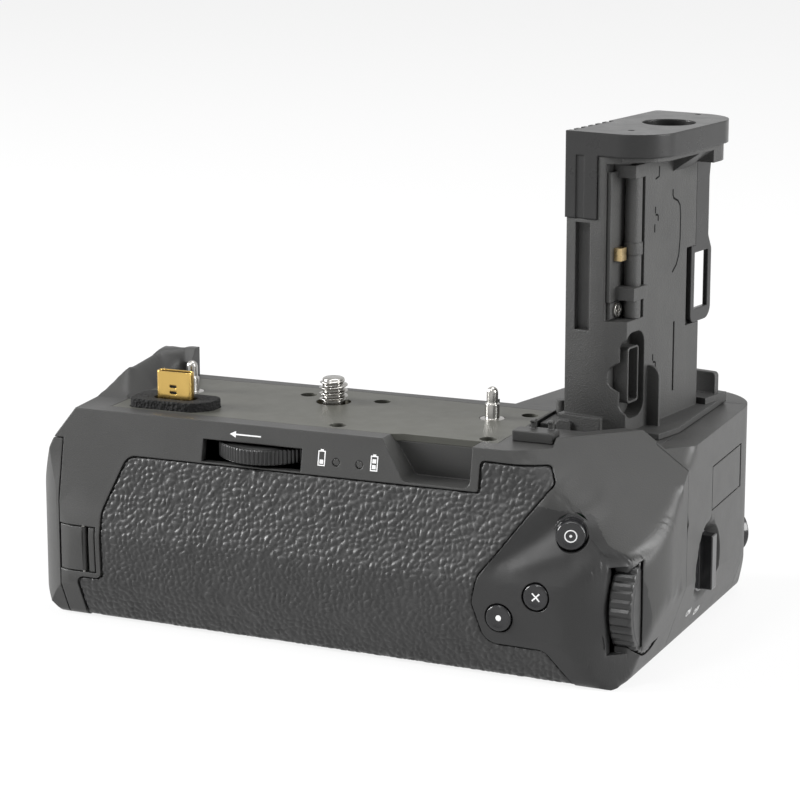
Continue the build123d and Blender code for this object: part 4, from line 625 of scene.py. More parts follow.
def pebbles(u: Array, v: Array, size: float, seed: int, crease: float = 2.2) -> Array:
    """Leather relief from 0 in the creases to 1 on the pebbles.

    Each cell of a grid has one loosely placed centre. The height at a point grows with
    how much nearer its nearest centre is than the second nearest.

    Args:
        u: place across.
        v: place up.
        size: width of a pebble.
        seed: picks the pattern.
        crease: how steeply the height rises from a crease.
    Returns:
        One height a point.
    """
    table = np.random.default_rng(seed).random((TABLE, TABLE, 2))
    iu, iv = np.floor(u / size).astype(int), np.floor(v / size).astype(int)
    first = np.full(u.shape, np.inf)
    second = np.full(u.shape, np.inf)
    for du in (-1, 0, 1):
        for dv in (-1, 0, 1):
            cu, cv = iu + du, iv + dv
            spot = table[cu % TABLE, cv % TABLE]
            away = np.hypot(cu + spot[..., 0] - u / size, cv + spot[..., 1] - v / size)
            second = np.minimum(second, np.maximum(first, away))
            first = np.minimum(first, away)
    return np.clip((second - first) * crease, 0.0, 1.0)


def wander(u: Array, v: Array, size: float, seed: int) -> Array:
    """Smooth random height from -1 to 1: a table of random values joined by smooth steps."""
    table = np.random.default_rng(seed).random((TABLE, TABLE)) * 2.0 - 1.0
    iu, iv = np.floor(u / size).astype(int), np.floor(v / size).astype(int)
    fu, fv = u / size - iu, v / size - iv
    fu, fv = fu * fu * (3 - 2 * fu), fv * fv * (3 - 2 * fv)
    u0, u1, v0, v1 = iu % TABLE, (iu + 1) % TABLE, iv % TABLE, (iv + 1) % TABLE
    low = table[u0, v0] * (1 - fu) + table[u1, v0] * fu
    high = table[u0, v1] * (1 - fu) + table[u1, v1] * fu
    return low * (1 - fv) + high * fv


def ramp(value: Array, start: float, end: float) -> Array:
    """0 up to start, 1 from end on and straight between them."""
    return np.clip((value - start) / (end - start), 0.0, 1.0)


@dataclass(frozen=True)
class CasingForm:
    """Rear face of the casing in millimetres, the same form as the CAD casing."""

    left: float = -61.5
    right: float = 85.5
    top_rear: float = 28.0
    band: tuple[float, float] = (9.4, 1.9)
    bulge: tuple[float, float] = (33.0, 37.5)
    bulge_top: float = 27.0
    bulge_foot: float = 38.0
    bulge_draw: float = 0.5
    foot_draw: tuple[float, float] = (5.5, 3.0)
    section_rounds: tuple[float, ...] = (0, 0, 0, 9.0, 7.0, 3.0, 0)
    height: float = 47.5
    corner_round: float = 20.4
    facet: tuple[float, float] = (82.0, 1.4)
    softness: float = 4.0

    def section(self, side: int) -> Array:
        """Filleted section at one end, as rows of y and z.

        Args:
            side: 0 for the left end, 1 for the hand end.
        Returns:
            The points from the top down.
        """
        bulge, draw = self.bulge[side], self.foot_draw[side]
        corners = ((-self.top_rear, 12.0), (-self.top_rear, 0.0),
                   (-self.top_rear - self.band[1], -self.band[0]), (-bulge, -self.bulge_top),
                   (-bulge + self.bulge_draw, -self.bulge_foot), (-bulge + draw, -self.height),
                   (0.0, -self.height))
        return arc_outline(corners, self.section_rounds, 8, closed=False)

    def rear(self, x: Array, z: Array, soft: bool = True) -> Array:
        """Place of the rear face.

        The two end sections are joined by straight lines along x; the rounded corner in
        the plan and the sloped facet lie inside them. Where the facet a meets the rest
        b, the soft form adds h^2 k / 4 with h = 1 - |a - b| / k.

        Args:
            x: place along the grip.
            z: height.
            soft: rounds the facet's border, as the finished shell has it.
        Returns:
            y of the face.
        """
        length = self.right - self.left
        share = (x - self.left) / length
        sides = []
        for side in (0, 1):
            upwards = self.section(side)[:-1][::-1]
            sides.append(np.interp(z, upwards[:, 1], upwards[:, 0]))
        y = sides[0] * (1 - share) + sides[1] * share
        cx = self.right - self.corner_round
        cy = -(self.bulge[0] + (self.bulge[1] - self.bulge[0]) * (cx - self.left) / length)
        cy += self.corner_round
        over = np.maximum(x - cx, 0.0)
        circle = cy - np.sqrt(np.maximum(self.corner_round ** 2 - over ** 2, 0.0))
        y = np.where(x > cx, np.maximum(y, circle), y)
        facet = x + self.facet[1] * z - self.facet[0]
        if not soft:
            return np.maximum(y, facet)
        near = np.clip(1.0 - np.abs(y - facet) / self.softness, 0.0, 1.0)
        return np.maximum(y, facet) + near ** 2 * self.softness / 4


FORM = CasingForm()
RUBBER_CORNERS = (
    (-36.0, -9.3), (46.6, -9.3), (46.6, -2.7), (60.8, -3.0), (62.8, -6.2), (48.6, -25.4),
    (47.4, -31.0), (50.6, -39.6), (63.6, -39.8), (69.4, -47.0), (69.4, -47.1), (-47.6, -47.1),
    (-47.6, -37.2), (-41.4, -37.2), (-41.4, -22.0),
)
RUBBER_ROUNDS = (3.0, 0.8, 1.0, 1.6, 1.2, 4.0, 3.0, 4.0, 3.0, 0, 0, 0, 1.6, 1.6, 8.0)


@dataclass
class RubberSkin:
    """Leather-grained rubber of the rear face and of the lens side of the hand end."""

    pitch: float = 0.3
    thickness: float = 0.85
    pebble: float = 1.35
    fine_share: float = 0.55
    drift: float = 0.5
    drift_size: float = 2.2
    swell_size: float = 3.0
    relief: float = 0.42
    edge: float = 0.5
    edge_drop: float = 0.25
    gap: float = 0.03

    def build(self) -> None:
        """Makes the rear skin and the copy of the front one."""
        outline = arc_outline(RUBBER_CORNERS, RUBBER_ROUNDS, 8)
        places, quads = clipped_grid(outline, self.pitch)
        x, z = places[:, 0], places[:, 1]
        y = FORM.rear(x, z)
        rim = np.linalg.norm(places - nearest(places, outline), axis=1)
        depth = self.leather(x, z) + self.edge_drop * np.clip(1.0 - rim / self.edge, 0.0, 1.0) ** 2
        self.skin(np.stack([x, y + depth + self.gap, z], axis=1) * MM, quads)
        node_copy("front_rubber", "front_rubber_skin", Look.RUBBER, 0.0002)

    def leather(self, u: Array, v: Array) -> Array:
        """Depth of the grain under its highest points, in millimetres.

        Two sizes of pebble, bent by a slow random drift, so that the creases wander.
        """
        bend_u = u + self.drift * wander(u, v, self.drift_size, 5)
        bend_v = v + self.drift * wander(u, v, self.drift_size, 6)
        coarse = pebbles(bend_u, bend_v, self.pebble, 11)
        fine = pebbles(bend_u, bend_v, self.pebble * self.fine_share, 12)
        swell = 0.5 + 0.5 * wander(u, v, self.swell_size, 7)
        return self.relief * (1.0 - coarse * (0.65 + 0.35 * swell)) * (0.75 + 0.25 * (1 - fine))

    def skin(self, verts: Array, quads: Array) -> None:
        """Makes the rear skin with its thickness and lets it stand for its CAD node."""
        piece = new_piece("rear_rubber_skin", verts, quads, Look.RUBBER, 80.0)
        wall = piece.modifiers.new("wall", "SOLIDIFY")
        wall.thickness = self.thickness * MM
        wall.offset = -1.0
        normal = piece.data.polygons[len(piece.data.polygons) // 2].normal
        if normal.y > 0:
            piece.data.flip_normals()
        carry(piece, "rear_rubber")


@dataclass
class SculptedShell:
    """Casing half: a finer copy of its CAD node.

    It is softened at the horn and sculpted round the thumb's controls.
    """

    node: str
    thumb: bool = False
    cover: bool = False
    fine_from: float = 44.0
    fine_to: float = -8.0
    fine_edge: float = 1.3
    rounds: int = 5
    softness: int = 14
    soft_share: float = 0.6
    outwards: float = 0.3
    margin: tuple[float, float] = (1.0, 2.0)
    horn_left: float = -43.0
    horn_foot: tuple[float, float] = (0.2, 0.9)
    corner_axis: tuple[float, float] = (65.1, -16.5)
    merge: float = 0.004
    sharp: float = 34.0
    gate: tuple[float, float] = (8.0, 16.0)
    seam: tuple[float, float] = (-84.5, -81.5)

    def build(self) -> None:
        """Copies, divides, smooths and sculpts the shell."""
        piece = node_copy(self.node, self.node + "_body", Look.SHELL, 0.0, flat=False)
        form = bmesh.new()
        form.from_mesh(piece.data)
        bmesh.ops.remove_doubles(form, verts=form.verts, dist=self.merge * MM)
        self.divide(form)
        form.to_mesh(piece.data)
        form.free()
        self.smooth(piece)
        if self.thumb or self.cover:
            self.sculpt(piece.data)
        piece.data.shade_smooth()
        piece.data.set_sharp_from_angle(angle=math.radians(self.sharp))
        if self.thumb:
            # second slot: the island's smoother finish, darkened with painted shade
            piece.data.materials.append(Look.ISLAND.material())
            self.paint(piece.data)
        log.info("%s: %d corners", self.node, len(piece.data.vertices))

    def divide(self, form: bmesh.types.BMesh) -> None:
        """Halves long edges at the horn and round the thumb's controls."""
        for _ in range(self.rounds):
            long_edges = [edge for edge in form.edges
                          if edge.calc_length() > self.fine_edge * MM and self.wanted(edge)]
            if not long_edges:
                break
            bmesh.ops.subdivide_edges(form, edges=long_edges, cuts=1)
            bmesh.ops.triangulate(form, faces=[face for face in form.faces if len(face.verts) > 3])

    def wanted(self, edge: bmesh.types.BMEdge) -> bool:
        """Whether an edge reaches into a zone that is smoothed."""
        right = max(vert.co.x for vert in edge.verts) > self.fine_from * MM
        rear = min(vert.co.y for vert in edge.verts) < self.fine_to * MM
        horn = min(vert.co.x for vert in edge.verts) < self.horn_left * MM
        high = max(vert.co.z for vert in edge.verts) > self.horn_foot[0] * MM
        return ((self.thumb or self.cover) and right and rear) or (horn and high)

    def outward(self, points: Array) -> Array:
        """Direction out of the casing: from the rounded corner's axis, in the plan."""
        out = np.zeros_like(points)
        out[:, 0] = np.maximum(points[:, 0] - self.corner_axis[0], 0.0)
        out[:, 1] = np.minimum(points[:, 1] - self.corner_axis[1], -1e-3)
        return out / np.linalg.norm(out, axis=1)[:, None]

    def smooth(self, piece: Piece) -> None:
        """Evens out the facets of the outer face, and leaves openings, seams and rims as they are.

        A corner is taken when all faces at it look outwards by more than a limit.
        """
        mesh = piece.data
        co = points_of(mesh)
        out = self.outward(co / MM)
        facing = np.ones(len(co))
        loops = np.empty(len(mesh.loops), np.int32)
        mesh.loops.foreach_get("vertex_index", loops)
        sizes = np.empty(len(mesh.polygons), np.int32)
        mesh.polygons.foreach_get("loop_total", sizes)
        normals = np.empty(len(mesh.polygons) * 3)
        mesh.polygons.foreach_get("normal", normals)
        spread = np.repeat(normals.reshape(-1, 3), sizes, axis=0)
        np.minimum.at(facing, loops, (spread * out[loops]).sum(axis=1))
        right = co[:, 0] > (self.fine_from + self.margin[0]) * MM
        rear = (facing > self.outwards) & right & (co[:, 1] < (self.fine_to - self.margin[1]) * MM)
        horn = (co[:, 0] < self.horn_left * MM) & (co[:, 2] > self.horn_foot[1] * MM)
        soft = (rear & (self.thumb or self.cover)) | horn
        if not soft.any():
            return
        group = piece.vertex_groups.new(name="soft")
        group.add(np.nonzero(soft)[0].tolist(), 1.0, "REPLACE")
        step = piece.modifiers.new("soft", "SMOOTH")
        step.factor = self.soft_share
        step.iterations = self.softness
        step.vertex_group = "soft"
        bpy.context.view_layer.update()
        moved = points_of(piece.evaluated_get(bpy.context.evaluated_depsgraph_get()).to_mesh())
        piece.modifiers.clear()
        piece.vertex_groups.clear()
        set_points(mesh, moved)

    def sculpt(self, mesh: Mesh) -> None:
        """Moves the rear wall in and out along Y, outer and inner face alike.

        The facet's border is rounded. The half with the thumb's controls has its relief too.
        """
        co = points_of(mesh)
        x, y, z = co.T / MM
        shift = FORM.rear(x, z) - FORM.rear(x, z, soft=False)
        if self.thumb:
            shift = (shift - self.relief(np.stack([x, z], axis=1))) * ramp(-x, *self.seam)
        co[:, 1] += shift * ramp(-y, *self.gate) * MM
        set_points(mesh, co)

    def relief(self, place: Array) -> Array:
        """Height of the sculpting in millimetres over x and z, out of the casing.

        The sum of rounded ridges and hollows: a lip along the rubber, an almond hollow
        round the upper button with a keel under it, a swell beside it and a lowered
        island round the dial.
        """
        lip = ((64.4, -5.3), (60.5, -10.8), (53.7, -16.7), (49.6, -22.1))
        hollow = ((70.6, -10.4), (68.7, -11.4), (65.3, -13.3), (59.4, -18.1), (54.3, -22.0))
        keel = ((54.5, -23.4), (61.0, -21.4), (67.0, -19.4))
        swell = ((73.6, -9.6), (76.8, -13.6), (80.5, -17.0))
        island = ((72.5, -18.0), (75.5, -21.0), (77.5, -25.0), (78.5, -31.0), (78.0, -38.0))
        forms = ((lip, 1.9, 0.45), (hollow, 2.6, -0.95), (keel, 1.5, 0.3), (swell, 3.4, 0.9),
                 (island, 3.0, -0.8))
        return sum(ridge(place, path, width) * height for path, width, height in forms)

    def paint(self, mesh: Mesh) -> None:
        """Gives the faces of the thumb's island, left of the facet's fold, the smoother finish; its darker
        colour and weaker specular are painted shade.
        """
        centre = np.empty(len(mesh.polygons) * 3)
        mesh.polygons.foreach_get("center", centre)
        x, y, z = centre.reshape(-1, 3).T / MM
        fold = ((-41.0, 82.6), (-33.0, 83.3), (-26.0, 82.5), (-19.2, 79.4), (-17.0, 75.3), (-12.0, 71.3),
                (-9.0, 50.0))
        left, rear, top = 47.0, -18.0, -9.5
        island = (x > left) & (x < np.interp(z, *zip(*fold))) & (y < rear) & (z < top)
        mesh.polygons.foreach_set("material_index", island.astype(np.int32))


@dataclass
class CameraScrew:
    """Screw that holds the grip to the camera, with a real helical thread."""

    major: float = 3.175
    root: float = 2.45
    pitch: float = 1.27
    foot: float = 0.35
    top: float = 5.6
    sides: int = 72
    rings: int = 130

    def build(self) -> None:
        """Makes the threaded part, its end and the shaft.

        Along a turn the radius falls from a flat crest to the root in a straight flank.
        Towards both ends it fades to the root, and the nose is drawn in.
        """
        z = np.linspace(self.foot, self.top, self.rings)[:, None]
        angle = (np.arange(self.sides) * TAU / self.sides)[None, :]
        phase = (z / self.pitch - angle / TAU) % 1.0
        flank = np.clip(np.minimum(phase, 1.0 - phase) * 2.0 / 0.8, 0.0, 1.0)
        crest = 1.0 - ramp(flank, 0.12, 0.82)
        fade = ramp(-z, 0.5 - self.top, 1.2 - self.top) * ramp(z, self.foot, self.foot + 0.4)
        radius = self.root + (self.major - self.root) * crest * fade
        radius = radius - 0.45 * ramp(z, self.top - 0.35, self.top) ** 2
        heights = np.broadcast_to(z, radius.shape)
        points = np.stack([radius * np.cos(angle), radius * np.sin(angle), heights], axis=2)
        faces = tube_faces(self.rings, self.sides)
        thread = new_piece("camera_screw_thread", points.reshape(-1, 3) * MM, faces, Look.STEEL, 50.0)
        carry(thread, "camera_screw")
        self.end()
        self.shaft()

    def end(self) -> None:
        """Shallow round dimple on the end of the screw."""
        rim, top, foot = 1.15, 5.61, 5.5
        corners = ((ON_AXIS, top), (0.9, top), (1.0, top + 0.01), (rim, top - 0.03))
        closed = np.vstack([rounded(corners, (0, 0.1, 0.1, 0)), [(rim, foot), (ON_AXIS, foot)]])
        carry(lathe("camera_screw_end", closed, Look.STEEL, sides=48), "camera_screw", False)

    def shaft(self) -> None:
        """Shaft, collar and gear under the thread."""
        stem, collar, gear, tail = 2.6, 4.6, 6.2, 1.8
        profile = np.array(((ON_AXIS, 0.6), (stem, 0.6), (stem, -3.5), (collar, -3.5), (collar, -4.3),
                            (stem, -4.3), (stem, -8.4), (gear, -8.4), (gear, -10.0), (stem, -10.0),
                            (stem, -11.1), (tail, -11.1), (tail, -12.6), (ON_AXIS, -12.6)))
        carry(lathe("camera_screw_shaft", profile, Look.STEEL), "camera_screw", False)


@dataclass
class LocatingPins:
    """Stepped steel pins that guide the grip onto the camera."""

    sites: tuple[tuple[float, float], ...] = ((38.4, -1.2), (-34.0, -2.5))
    radius: float = 1.25
    rise: float = 7.0
    step_radius: float = 1.6
    step_rise: float = 3.4
    flange: float = 2.7
    root: float = 3.8

    def build(self) -> None:
        """Makes one turned body a pin."""
        nose = [(self.radius * math.sin(a), self.rise - self.radius + self.radius * math.cos(a))
                for a in np.linspace(0.01, TAU / 4, 10)]
        lower = rounded(((self.radius, self.step_rise + 0.5), (self.radius, self.step_rise),
                         (self.step_radius, self.step_rise - 0.15), (self.step_radius, 0.0),
                         (self.flange, -0.02), (self.flange, -0.25), (self.step_radius, -0.26),
                         (self.step_radius, -self.root), (ON_AXIS, -self.root)),
                        (0, 0.15, 0.15, 0.2, 0.08, 0, 0, 0.2, 0), 4)
        profile = np.vstack([nose, lower])
        for index, site in enumerate(self.sites, 1):
            pin = lathe(f"locating_pin_{index}", profile, Look.STEEL, (*site, 0.0), sides=48)
            carry(pin, "locating_pins")


@dataclass
class RibbedWheel:
    """Wheel with ribs all round its rim and soft edges."""

    node: str
    centre: Triple
    axis: Triple
    radius: float
    thickness: float
    ribs: int
    depth: float
    look: Look
    waves: int = 0
    wave: float = 0.0
    hub: float = 3.2
    hub_reach: float = 0.6
    edge: float = 0.55
    steps: int = 6
    gear: bool = False
    crest: float = 0.35

    def build(self) -> None:
        """Makes the wheel, its hub and, for the lock wheel, the gear under it."""
        half = self.thickness / 2
        rim = self.radius
        upper = ((ON_AXIS, half + self.hub_reach), (self.hub, half + self.hub_reach), (self.hub, half),
                 (rim - 1.5, half), (rim - 1.2, half - 0.12), (rim, half - 0.2))
        lower = [(radius, -height) for radius, height in upper[::-1]]
        rounds = (0, 0.2, 0.15, 0.1, 0.1, self.edge)
        profile = rounded((*upper, (rim, 0.0), *lower), (*rounds, 0, *rounds[::-1]), 5)
        outer = profile[:, :1] > rim - 1.0
        weight = ramp(profile[:, :1], rim - 0.5, rim - 0.1) * outer

        def ripple(angle: Array) -> Array:
            """Groove depth: a steep wave with flat crests, plus the slow lobes of the rim."""
            groove = np.clip(1.5 * np.cos(angle * self.ribs) + self.crest, -1.0, 1.0) * 0.5 - 0.5
            lobe = self.wave * (np.cos(angle * self.waves) - 1.0) if self.waves else 0.0
            return weight * (groove * self.depth + lobe)

        wheel = lathe(self.node + "_rim", profile, self.look, self.centre, self.axis,
                      self.ribs * self.steps, ripple, 32.0)
        carry(wheel, self.node)
        if self.gear:
            self.build_gear()

    def build_gear(self) -> None:
        """Small gear of 22 teeth under the wheel that turns the idler."""
        teeth, radius, top, foot, tooth = 22, 5.9, -2.0, -3.7, 1.0
        corners = ((ON_AXIS, top), (radius, top), (radius, foot), (ON_AXIS, foot))
        profile = rounded(corners, (0, 0.1, 0.1, 0), 3)
        weight = profile[:, :1] > radius - tooth

        def ripple(angle: Array) -> Array:
            """Tooth gaps: a steep wave with flat crests and flat feet."""
            return weight * (np.clip(1.6 * np.cos(angle * teeth), -1, 1) - 1) * (tooth / 2)

        gear = lathe(self.node + "_gear", profile, self.look, self.centre, self.axis, teeth * 8, ripple)
        carry(gear, self.node, False)


@dataclass
class ThumbButton:
    """Round glossy button with a hollow crown, a raised rim and a plain mark."""

    node: str
    face: Triple
    turn: float
    radius: float
    mark: str
    proud: float = 1.2
    hollow: float = 0.28

    def build(self) -> None:
        """Makes the cap with its retaining flange, and the mark on the crown."""
        out = np.array([math.sin(math.radians(self.turn)), -math.cos(math.radians(self.turn)), 0.0])
        r, top = self.radius, self.proud
        dish, flange, shelf, foot = r - 0.55, r + 0.6, -1.5, -2.1
        crown = [(max(ON_AXIS, dish * s), top - self.hollow * (1.0 - s * s)) for s in np.linspace(0, 1, 8)]
        rest = rounded(((r - 0.5, top), (r - 0.22, top), (r, top - 0.3), (r, shelf), (flange, shelf),
                        (flange, foot), (ON_AXIS, foot)), (0, 0.14, 0.2, 0, 0.1, 0.1, 0), 5)
        carry(lathe(self.node + "_cap", np.vstack([crown, rest]), Look.GLOSS, self.face, out), self.node)
        across = np.array([math.cos(math.radians(self.turn)), math.sin(math.radians(self.turn)), 0.0])
        for index, outline in enumerate(self.outlines()):
            points = np.array(outline, float)
            away = np.hypot(points[:, 0], points[:, 1]) / dish
            height = top - self.hollow * (1.0 - np.minimum(away, 1.0) ** 2) + 0.02
            base = np.array(self.face)[None, :] + points[:, :1] * across + points[:, 1:] * UP
            carry(sign(f"{self.node}_mark_{index + 1}", base, height, out, Look.INK), self.node, False)

    def outlines(self) -> list[Array]:
        """Closed outlines of the mark, in millimetres on the crown."""
        if self.mark == "dot":
            return [circle(0.0, 0.0, 0.62, 24)]
        if self.mark == "cross":
            return [bar((0.0, 0.0), 2.3, 0.3, 45.0), bar((0.0, 0.0), 2.3, 0.3, -45.0)]
        ring = circle(0.0, 0.0, 1.35, 40)
        inner = circle(0.0, 0.0, 1.1, 40)
        half = len(ring) // 2
        upper = np.vstack([ring[:half + 1], inner[:half + 1][::-1]])
        lower = np.vstack([ring[half:], ring[:1], inner[:1], inner[half:][::-1]])
        return [upper, lower, circle(0.0, 0.0, 0.3, 16)]


def circle(x: float, y: float, radius: float, steps: int) -> Array:
    """Points of a circle."""
    angle = np.arange(steps) * TAU / steps
    return np.stack([x + radius * np.cos(angle), y + radius * np.sin(angle)], axis=1)


def bar(middle: Sequence[float], length: float, width: float, turn: float) -> Array:
    """Long thin rectangle turned about its middle, with points along its edges."""
    run = np.linspace(-length / 2, length / 2, 9)
    points = np.vstack([np.stack([run, np.full(9, -width / 2)], axis=1),
                        np.stack([run[::-1], np.full(9, width / 2)], axis=1)])
    c, s = math.cos(math.radians(turn)), math.sin(math.radians(turn))
    return points @ np.array([[c, s], [-s, c]]) + np.asarray(middle, float)


def sign(name: str, base: Array, height: Array, out: Array, look: Look,
         thickness: float = 0.05) -> Piece:
    """Thin closed plate that lies on a surface as a printed mark.

    Args:
        name: piece name.
        base: outline points in millimetres, one row each.
        height: height of each point along the surface's outward direction.
        out: outward direction.
        look: finish.
        thickness: how far the plate reaches in, in millimetres.
    Returns:
        The new object.
    """
    front = base + np.asarray(height, float).reshape(-1, 1) * out
    back = front - thickness * out
    count = len(base)
    ring = np.arange(count)
    following = (ring + 1) % count
    sides = np.stack([ring, following, following + count, ring + count], axis=1).tolist()
    faces = [ring.tolist(), (ring[::-1] + count).tolist()] + sides
    return new_piece(name, np.vstack([front, back]) * MM, faces, look, 30.0)


@dataclass
class BandMarks:
    """Plain signs on the band above the rubber: an arrow by the wheel and cells by the lamps."""

    lift: float = 0.025

    def build(self) -> None:
        """Makes every sign of the band."""
        tip, neck, tail, middle, half, line = -11.6, -10.2, -4.2, -2.25, 0.7, 0.15
        arrow = [(tip, middle), (neck, middle + half), (neck, middle + line), (tail, middle + line),
                 (tail, middle - line), (neck, middle - line), (neck, middle - half)]
        self.band("wheel_arrow", np.array(arrow))
        for index, x in enumerate((10.4, 22.6), 1):
            self.cell(index, x)

    def cell(self, index: int, x: float) -> None:
        """Small upright battery sign: a frame with a cap, and bars for its charge."""
        low, high, half, line, gap = -7.0, -3.8, 0.85, 0.22, 0.02
        cap_half, cap_top, bar_half, bar_height, bar_step = 0.35, 0.3, 0.42, 0.85, 1.2
        sides = (low + line + gap, high - line - gap)
        boxes = [(x - half, x + half, low, low + line), (x - half, x + half, high - line, high),
                 (x - half, x - half + line, *sides), (x + half - line, x + half, *sides),
                 (x - cap_half, x + cap_half, high + gap, high + cap_top)]
        for step in range(index):
            foot = low + 0.45 + step * bar_step
            boxes.append((x - bar_half, x + bar_half, foot, foot + bar_height))
        for number, (x0, x1, z0, z1) in enumerate(boxes, 1):
            self.band(f"cell_{index}_{number}", np.array([(x0, z0), (x1, z0), (x1, z1), (x0, z1)]))

    def band(self, name: str, outline: Array) -> None:
        """Lays an outline given in x and z on the rear face."""
        y = FORM.rear(outline[:, 0], outline[:, 1])
        base = np.stack([outline[:, 0], y, outline[:, 1]], axis=1)
        mark = sign(name, base, np.full(len(base), self.lift), np.array([0.0, -1.0, 0.0]), Look.INK)
        carry(mark, "rear_shell", False)


@dataclass
class SwitchWords:
    """The words ON and OFF beside the power switch."""

    words: tuple[tuple[str, float, float], ...] = (("ON", 5.4, -41.4), ("OFF", 12.6, -43.0))
    size: float = 2.1
    lift: float = 0.03

    def build(self) -> None:
        """Makes each word as a thin mesh that lies on the hand end."""
        for word, y, z in self.words:
            curve = bpy.data.curves.new(word, "FONT")
            curve.body = word
            curve.size = self.size * MM
            curve.extrude = 0.02 * MM
            curve.align_x = "CENTER"
            curve.resolution_u = 3
            holder = put(word, curve)
            bpy.context.view_layer.update()
            seen = holder.evaluated_get(bpy.context.evaluated_depsgraph_get())
            mesh = bpy.data.meshes.new_from_object(seen)
            bpy.data.objects.remove(holder)
            co = points_of(mesh)
            y_place = y * MM + co[:, 0]
            z_place = z * MM + co[:, 1]
            x_place = face_right("hand_end_cover", y_place, z_place) + co[:, 2] + self.lift * MM
            set_points(mesh, np.stack([x_place, y_place, z_place], axis=1))
            carry(finish_piece(f"word_{word}", mesh, Look.INK, 30.0), "hand_end_cover", False)


def stroke(path: Path, width: float) -> Array:
    """Closed outline of a line of a given width through the corners of a path."""
    line = np.asarray(path, float)
    run = np.gradient(line, axis=0)
    run /= np.maximum(np.linalg.norm(run, axis=1), 1e-9)[:, None]
    side = np.stack([-run[:, 1], run[:, 0]], axis=1) * width / 2
    return np.vstack([line + side, (line - side)[::-1]])


@dataclass
class TowerLines:
    """Fine dark lines on the flat side of the tower, painted shade of its grooves: two long steps, a short
    one and a bow.
    """

    foot: tuple[float, float] = (54.9, -1.0)
    turn: float = 9.3
    face: float = 13.7
    width: float = 0.42
    lift: float = 0.03

    def build(self) -> None:
        """Makes each line as a thin dark strip of painted groove shade that lies on the face."""
        for index, z in enumerate((43.7, 11.6), 1):
            self.line(f"step_{index}_top", ((14.2, z + 2.9), (14.2, z + 1.5)))
            middle = ((14.3, z + 1.2), (15.3, z + 1.0), (15.5, z + 0.8), (15.5, z - 0.3))
            self.line(f"step_{index}_middle", middle)
            self.line(f"step_{index}_foot", ((14.2, z - 0.9), (14.0, z - 1.1), (14.0, z - 2.6)))
        self.line("step_3", ((14.0, 52.6), (15.6, 53.0), (15.7, 55.2)))
        bow = [(22.2, 49.4), (22.2, 48.2), (22.6, 47.4), (24.6, 46.6), (25.6, 45.6), (26.0, 43.6),
               (26.0, 38.0), (25.5, 34.6), (24.4, 32.6), (22.6, 31.2)]
        self.line("bow", bow)

    def line(self, name: str, path: Path) -> None:
        """Lays one line, given across and up on the tower's face."""
        outline = stroke(path, self.width)
        c, s = math.cos(math.radians(self.turn)), math.sin(math.radians(self.turn))
        x = self.foot[0] + self.face * c + outline[:, 0] * s
        y = self.foot[1] - self.face * s + outline[:, 0] * c
        base = np.stack([x, y, outline[:, 1]], axis=1)
        mark = sign("tower_" + name, base, np.full(len(base), self.lift), np.array([c, -s, 0.0]), Look.LINE)
        carry(mark, "tower_frame", False)


@dataclass
class SmallParts:
    """Copies of the CAD nodes that only need soft edges and their own finish."""

    copies: tuple[tuple[str, Look, float], ...] = (
        ("magazine_door", Look.SHELL, 0.25), ("base_plate", Look.SHELL, 0.2),
        ("top_plate", Look.PLATE, 0.12), ("top_screws", Look.BLACK_SCREW, 0.08),
        ("base_screws", Look.BLACK_SCREW, 0.08), ("tripod_socket", Look.STEEL, 0.12),
        ("signal_plug", Look.GOLD, 0.14), ("plug_tongue", Look.RESIN, 0.1),
        ("plug_gasket", Look.FOAM, 0.3), ("cord_flap", Look.SHELL, 0.2),
        ("flap_edge", Look.SHELL, 0.15), ("release_knob", Look.GLOSS, 0.25),
        ("port_cover", Look.SHELL, 0.2), ("power_switch", Look.GLOSS, 0.4),
        ("shutter_button", Look.GLOSS, 0.35), ("function_button", Look.GLOSS, 0.3),
        ("tower_frame", Look.TOWER, 0.0), ("tower_cap", Look.CAP, 0.0),
        ("hinge_plate", Look.TOWER, 0.15), ("hinge_post", Look.TOWER, 0.2),
        ("screw_bracket", Look.TOWER, 0.15), ("spring_tab", Look.BRASS, 0.08),
        ("bracket_screw", Look.STEEL, 0.08), ("contact_cover_holder", Look.TOWER, 0.2),
        ("clip_block", Look.SHELL, 0.25), ("charge_lamps", Look.LAMP, 0.08),
        ("hinge_pins", Look.STEEL, 0.1), ("charge_port", Look.STEEL, 0.1),
        ("tower_contacts", Look.GOLD, 0.06), ("magazine_contacts", Look.GOLD, 0.08),
        ("bay_contacts", Look.GOLD, 0.08),
    )
    plain: tuple[tuple[str, Look], ...] = (
        ("screw_bush", Look.BRASS), ("idler_gear", Look.BRASS), ("gear_axles", Look.STEEL),
        ("drive_deck", Look.RESIN), ("plug_contacts", Look.GOLD), ("lamp_board", Look.BOARD),
        ("magazine_tray", Look.RESIN), ("bay_bulkhead", Look.RESIN), ("main_board", Look.BOARD),
        ("button_domes", Look.SPRING), ("control_boards", Look.BOARD), ("tower_board", Look.BOARD),
        ("dial_axles", Look.STEEL),
    )

    def build(self) -> None:
        """Makes the copies and dresses the nodes that stay."""
        for node, look, bevel in self.copies:
            piece = node_copy(node, node + "_body", look, bevel * MM, flat=bevel > 0)
            log.info("%s: %d corners", node, len(piece.data.vertices))
        for node, look in self.plain:
            dress(node, look)


def face_right(node: str, y: Array, z: Array) -> Array:
    """Outermost place of a CAD node along X at each y and z, by rays from the right."""
    mesh = frame["nodes"][node].data
    faces = [list(face.vertices) for face in mesh.polygons]
    tree = BVHTree.FromPolygons([vert.co for vert in mesh.vertices], faces)
    start = CAD_BOX[1][0] + 0.01
    hits = [tree.ray_cast((start, float(v), float(w)), (-1.0, 0.0, 0.0))[0] for v, w in zip(y, z)]
    found = [hit.x for hit in hits if hit is not None]
    return np.array([hit.x if hit is not None else max(found) for hit in hits])


# Camera, floor and light

